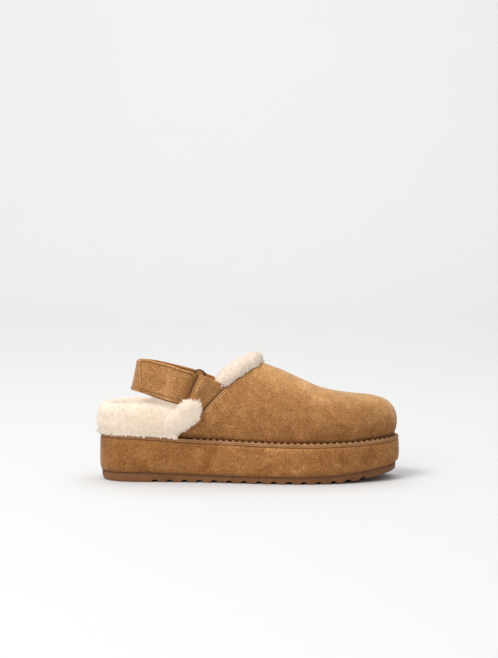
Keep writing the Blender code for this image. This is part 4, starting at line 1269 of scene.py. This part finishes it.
def build_strap():
    path, half = [], []
    for u in np.concatenate([END_U - 6 * (1 - np.cos(np.linspace(0, math.pi / 2, 14))), np.linspace(END_U - 8, 2.5, 26)]):
        path.append((u, D_OUT + puff_out(u)))
        half.append(lap_half(u))
    for a in np.linspace(0, math.pi, 18):
        path.append((-R_FOLD * math.sin(a), (D_OUT + D_IN) / 2 + R_FOLD * math.cos(a)))
        half.append(STRAP_W / 2)
    for u in np.linspace(2.5, S[-1], 130):
        path.append((u, D_IN))
        half.append(half_at(u))
    low = [half[i] + (below(u, 1.5, 30.0) if i < 14 + 26 else below(u, 2.9, 48.0)) for i, (u, _) in enumerate(path)]
    outer = 14 + 26
    bell = lambda v, r: math.exp(-((v / r) ** 2))

    def tone(i, u, w, rim, d):
        # outer layer: painted highlight along its edges, painted shade in the stitch groove, a painted highlight on
        # its bulge, painted shade towards the fold, and a little darker around 36 mm along
        if i < outer:
            near = min(rim, END_U - u[0] + 0.05)
            v = 1 + 0.42 * bell(near, 0.62) - 0.20 * bell(near - 2.0, 0.6)
            v *= 1 + 0.15 * bell(u[0] - 15.0 - 0.10 * w, 3.4) - 0.42 * bell(u[0] + 0.5, 4.4)
            return v * (1 - 0.07 * bell(u[0] - 36.0, 7.0))
        # the fold itself: painted shade
        if i < outer + 18:
            return 0.66
        # inner layer: its inner face in painted shade, painted highlight along its edges, painted shade in the stitch
        # groove
        v = (1.0 if d > 0 else 0.74) * (1 + 0.50 * bell(rim, 0.75) - 0.12 * bell(rim - 2.0, 0.6))
        # painted shadow cast by the outer layer's end onto the inner layer
        if u[0] < END_U + 12:
            gone = END_U + 5.0 * (w / (STRAP_W / 2) - 1) - 0.4
            shade = 0.42 if u[0] < gone + 3.0 else 0.90 - 0.46 * bell(u[0] - gone - 3.0, 2.0)
            v *= shade + (1 - shade) * 0.8 * bell(rim, 0.75)
        return v

    soft_band("strap_suede", path, lambda u, d, w: place(skew(u, d, w), d, w), lambda i: (half[i] - (drop(path[i][0]) if i < outer else 0.0), low[i]), STRAP_T, [SUEDE_STRAP, SUEDE_EDGE_LIT], ["heel_strap"], wave=0.22, seed=91, tone=tone)


build_strap()

# the loop of round wire
hw = RING_W / 2
AX_W = W[0]
AX_N = N[0]
AX_U = unit(EXT - AX_W * (EXT @ AX_W))
CENTRE = place(0.0, (D_OUT + D_IN) / 2) + AX_U * hw


def build_loop():
    corner, hh = 3.4, RING_H / 2
    loop = []
    for cx, cy, a0 in ((hw - corner, hh - corner, 0), (-hw + corner, hh - corner, 90), (-hw + corner, -hh + corner, 180), (hw - corner, -hh + corner, 270)):
        for k in range(9):
            a = math.radians(a0 + 90 * k / 8)
            loop.append((cx + corner * math.cos(a), cy + corner * math.sin(a)))
    loop = np.array(loop)
    rows = []
    for i in range(len(loop)):
        t = unit(loop[(i + 1) % len(loop)] - loop[i - 1])
        side = np.array([t[1], -t[0]])
        row = []
        for k in range(16):
            ang = 2 * math.pi * k / 16
            off = side * WIRE_R * math.cos(ang)
            row.append(CENTRE + AX_U * (loop[i, 0] + off[0]) + AX_W * (RING_RISE + loop[i, 1] + off[1]) + AX_N * WIRE_R * math.sin(ang))
        rows.append(row)
    rows = np.array(rows)
    make("loop_wire", rows.reshape(-1, 3), quads(len(loop), 16, True, True), METAL, ["loop"], None)


build_loop()

T_TOP, T_LOW = collar_point(84.6, -1, 3.0, 0.1), collar_point(61.8, -1, 3.0, 0.1)
BAR = CENTRE + AX_U * hw
BAR_TOP, BAR_LOW = BAR + AX_W * (STRAP_W / 2 + 1.4), BAR - AX_W * STRAP_W / 2
_kc = (collar_at(84.6, -1) + collar_at(61.8, -1)) / 2
NC = collar_frame(_kc)[1][0]
LEAD = (T_TOP + T_LOW) / 2 - BAR
RUN = float(np.linalg.norm(LEAD))
LEAD = unit(LEAD - AX_W * (LEAD @ AX_W))
N0 = np.cross(AX_W, LEAD)
N0 = unit(N0 * np.sign(N0 @ AX_N))


def place_tab(u, d, w):
    f = u / RUN
    g = max(0.0, f)
    a, b = BAR_TOP + (T_TOP - BAR_TOP) * g, BAR_LOW + (T_LOW - BAR_LOW) * g
    nv = unit(N0 * (1 - g) + NC * g)
    base = (a + b) / 2 + LEAD * min(u, 0.0)
    half = np.linalg.norm(a - b) / 2
    return base + nv * d + (a - b) / 2 * (w / half)


def tab_half(u):
    g = max(0.0, u / RUN)
    return float(np.linalg.norm((BAR_TOP + (T_TOP - BAR_TOP) * g) - (BAR_LOW + (T_LOW - BAR_LOW) * g)) / 2)


def build_tab():
    r = R_FOLD
    open_at = lambda f: r + (1.25 - r) * f
    path = []
    for f in np.linspace(1, 0.1, 14):
        path.append((f * RUN, open_at(f)))
    for a in np.linspace(0, math.pi, 20):
        path.append((-(r + 0.9) * math.sin(a) ** 0.5, r * math.copysign(abs(math.cos(a)) ** 0.45, math.cos(a))))
    for f in np.linspace(0.1, 1, 14):
        path.append((f * RUN, -open_at(f)))

    def tone(i, u, w, rim, d):
        # lifted overall, with painted highlight along the tab's edges and on its fold, a thin painted shade line at
        # the fold's outer edge, and painted shade where it runs under the upper's edge
        v = 1.09 + 0.30 * math.exp(-((rim / 0.55) ** 2))
        v *= 1 + 0.05 * math.exp(-(((u[0] + 2.6) / 1.2) ** 2)) - 0.30 * math.exp(-(((u[0] + 4.1) / 0.5) ** 2))
        return v * (1 - 0.16 * math.exp(-(((u[0] - RUN) / 3.5) ** 2)))

    soft_band("tab_suede", path, place_tab, lambda i: (tab_half(path[i][0]),) * 2, STRAP_T - 0.1, [SUEDE_STRAP, SUEDE_EDGE_LIT], ["strap_tab"], seed=93, across=7, tone=tone)


build_tab()

soft_band(
    "tape_pad", [(u, LAYER_GAP / 2) for u in np.linspace(8.0, 40.0, 40)], lambda u, d, w: place(skew(u, d + 2, w), d, w),
    lambda i: (STRAP_W * 0.42,) * 2, LAYER_GAP - 0.9, [TAPE, TAPE], ["fastener_tape"], wave=0.12, seed=95, across=9,
)


# ---- stitching -------------------------------------------------------------------------------------------
def stitches(name, rows, pitch, length, width, mat):
    """Small raised stitches along rows of (points, normals)."""
    verts, faces = [], []
    for line, nrm in rows:
        line, nrm = np.array(line), np.array(nrm)
        s = np.concatenate([[0], np.cumsum(np.linalg.norm(np.diff(line, axis=0), axis=1))])
        at = pitch / 2
        while at < s[-1] - pitch / 4:
            f = lambda v, a=line: np.array([np.interp(v, s, a[:, k]) for k in range(3)])
            c, t = f(at), unit(f(at + 0.4) - f(at - 0.4))
            nn = unit(f(at, nrm))
            side = np.cross(nn, t)
            base = len(verts)
            cols, spin = 5, 6
            for i in range(cols):
                u = -1 + 2 * i / (cols - 1)
                r = math.sqrt(max(0.06, 1 - u * u * 0.92))
                arch = 0.28 * (1 - u * u) - 0.10
                for k in range(spin):
                    a = 2 * math.pi * k / spin
                    verts.append(c + t * u * length / 2 + side * math.cos(a) * width / 2 * r + nn * (arch + math.sin(a) * width / 2 * r * 0.8))
            for i in range(cols - 1):
                for k in range(spin):
                    faces.append((base + i * spin + k, base + i * spin + (k + 1) % spin, base + (i + 1) * spin + (k + 1) % spin, base + (i + 1) * spin + k))
            faces.append(tuple(base + k for k in range(spin))[::-1])
            faces.append(tuple(base + (cols - 1) * spin + k for k in range(spin)))
            at += pitch
    return make(name, verts, faces, mat, (), None, weld=0)


def collar_rows(side):
    rows = []
    for away in (1.3, 3.5):
        zs = np.linspace(83.0, 62.5, 60)
        pts, nn = [], []
        for z in zs:
            k = collar_at(z, side)
            j = int(round(float(k)))
            col, nrm = GRID[:, j], NORM[:, j]
            s = np.concatenate([[0], np.cumsum(np.linalg.norm(np.diff(col, axis=0), axis=1))])
            cp, cn = GRID[0], NORM[0]
            base, bn, be = collar_frame(k)
            target = base[0] - be[0] * away
            near = GRID[:14].reshape(-1, 3)
            d2 = ((near - target) ** 2).sum(1)
            best = np.argsort(d2)[:3]
            nv = unit(NORM[:14].reshape(-1, 3)[best].mean(0))
            pt = target + nv * ((near[best[0]] - target) @ nv)
            pts.append(pt + nv * 0.12)
            nn.append(nv)
        rows.append((pts, nn))
    return rows


stitches("collar_stitching", collar_rows(-1) + collar_rows(1), 2.8, 2.0, 0.66, THREAD)


def strap_rows():
    rows = []
    # round the outer layer's free end, a little in from its edge
    pts, nn = [], []
    us = list(np.linspace(1.0, END_U - 6.2, 40))
    corner = []
    for u in us:
        corner.append((u, STRAP_W / 2 - 2.0))
    for a in np.linspace(0, math.pi / 2, 8)[1:]:
        corner.append((END_U - 6.2 + 4.4 * math.sin(a), STRAP_W / 2 - 2.0 - 4.0 * (1 - math.cos(a))))
    corner += [(u, -w) for u, w in corner[::-1]]
    for u, w in corner:
        if w > 0:
            w -= drop(u) * min(1.0, w / (STRAP_W / 2 - 6.0))
        u = skew(u, 9.0, w)
        p = place(u, D_OUT + STRAP_T / 2 + puff_out(u), w)
        pts.append(p + 0.1 * unit(place(u, 5, w) - place(u, 0, w)))
        nn.append(unit(place(u, 5, w) - place(u, 0, w)))
    rows.append((pts, nn))
    # both edges of the inner layer, from the end of the lap to the medial side
    for sgn in (1, -1):
        pts, nn = [], []
        for u in np.linspace(END_U + 16.0, S[-1] - 2.0, 120):
            w = sgn * (half_at(u) - 2.0)
            v = unit(place(u, 5, w) - place(u, 0, w))
            pts.append(place(u, D_IN + STRAP_T / 2, w) + v * 0.1)
            nn.append(v)
        rows.append((pts, nn))
    return rows


# dark stitches on the strap: painted shade of the stitch holes
stitches("strap_stitching", strap_rows(), 2.1, 1.05, 0.8, THREAD_HOLE_SHADE)

# ---- stage -------------------------------------------------------------------------------------------------
def stage_material(name, value, rough):
    s = Shader(name)
    n = s.noise(3.0, 2.0)
    c = s.ramp(n, [(0.3, (value * 0.995,) * 3), (0.7, (value,) * 3)])
    return s.done(c, rough, None, Specular_IOR_Level=0.2)


def build_stage():
    prof = [(-6.0, -0.0002), (2.2, -0.0002)]
    for a in np.linspace(0, math.pi / 2, 14)[1:]:
        prof.append((2.2 + 1.6 * math.sin(a), 1.6 * (1 - math.cos(a))))
    prof.append((3.8, 7.0))
    verts = [(x, y, z) for y, z in prof for x in (-9.0, 9.0)]
    faces = [(2 * i, 2 * i + 1, 2 * i + 3, 2 * i + 2) for i in range(len(prof) - 1)]
    me = bpy.data.meshes.new("floor")
    me.from_pydata(verts, [], faces)
    me.shade_smooth()
    me.materials.append(stage_material("floor_paint", 0.62, 0.9))
    ob = bpy.data.objects.new("floor", me)
    bpy.context.scene.collection.objects.link(ob)


build_stage()


def area(name, at, to, size, power, color=(1, 1, 1), shape="RECTANGLE", size_y=None):
    l = bpy.data.lights.new(name, "AREA")
    l.shape = shape
    l.size = size
    if size_y:
        l.size_y = size_y
    l.energy = power
    l.color = color
    ob = bpy.data.objects.new(name, l)
    ob.location = at
    ob.rotation_euler = (Vector(to) - Vector(at)).to_track_quat("-Z", "Y").to_euler()
    bpy.context.scene.collection.objects.link(ob)
    return ob


area("key", (-1.2, -1.25, 2.6), (0.0, 0.0, 0.05), 1.15, 58.0, (1.0, 0.99, 0.97), size_y=1.15)
area("top", (0.1, 0.35, 1.7), (0.0, 0.0, 0.05), 1.4, 8.0, (1, 1, 1), size_y=1.0)
area("front", (-0.7, -1.9, 0.95), (0.0, 0.0, 0.06), 1.2, 13.0, (1, 1, 1), size_y=1.0)
area("backdrop", (0.0, 2.2, 2.8), (0.0, 3.4, 0.1), 3.6, 55.0, (1, 1, 1), size_y=1.2)

world = bpy.data.worlds.new("studio")
bpy.context.scene.world = world
world.use_nodes = True
bg = world.node_tree.nodes["Background"]
bg.inputs["Color"].default_value = (1.0, 1.0, 1.0, 1)
bg.inputs["Strength"].default_value = 0.60

cam_data = bpy.data.cameras.new("camera")
cam = bpy.data.objects.new("camera", cam_data)
bpy.context.scene.collection.objects.link(cam)
cam_data.sensor_width = 36.0
cam_data.lens = 1992.0 / 658.0 * 36.0
cam.location = (-0.0006 + ORIGIN_X * MM, -1.759, 0.255)
cam.rotation_euler = (math.radians(90) - 0.0698, 0, 0)
bpy.context.scene.camera = cam
bpy.context.scene.view_settings.view_transform = "Standard"
bpy.context.scene.cycles.max_bounces = 14
bpy.context.scene.cycles.diffuse_bounces = 8
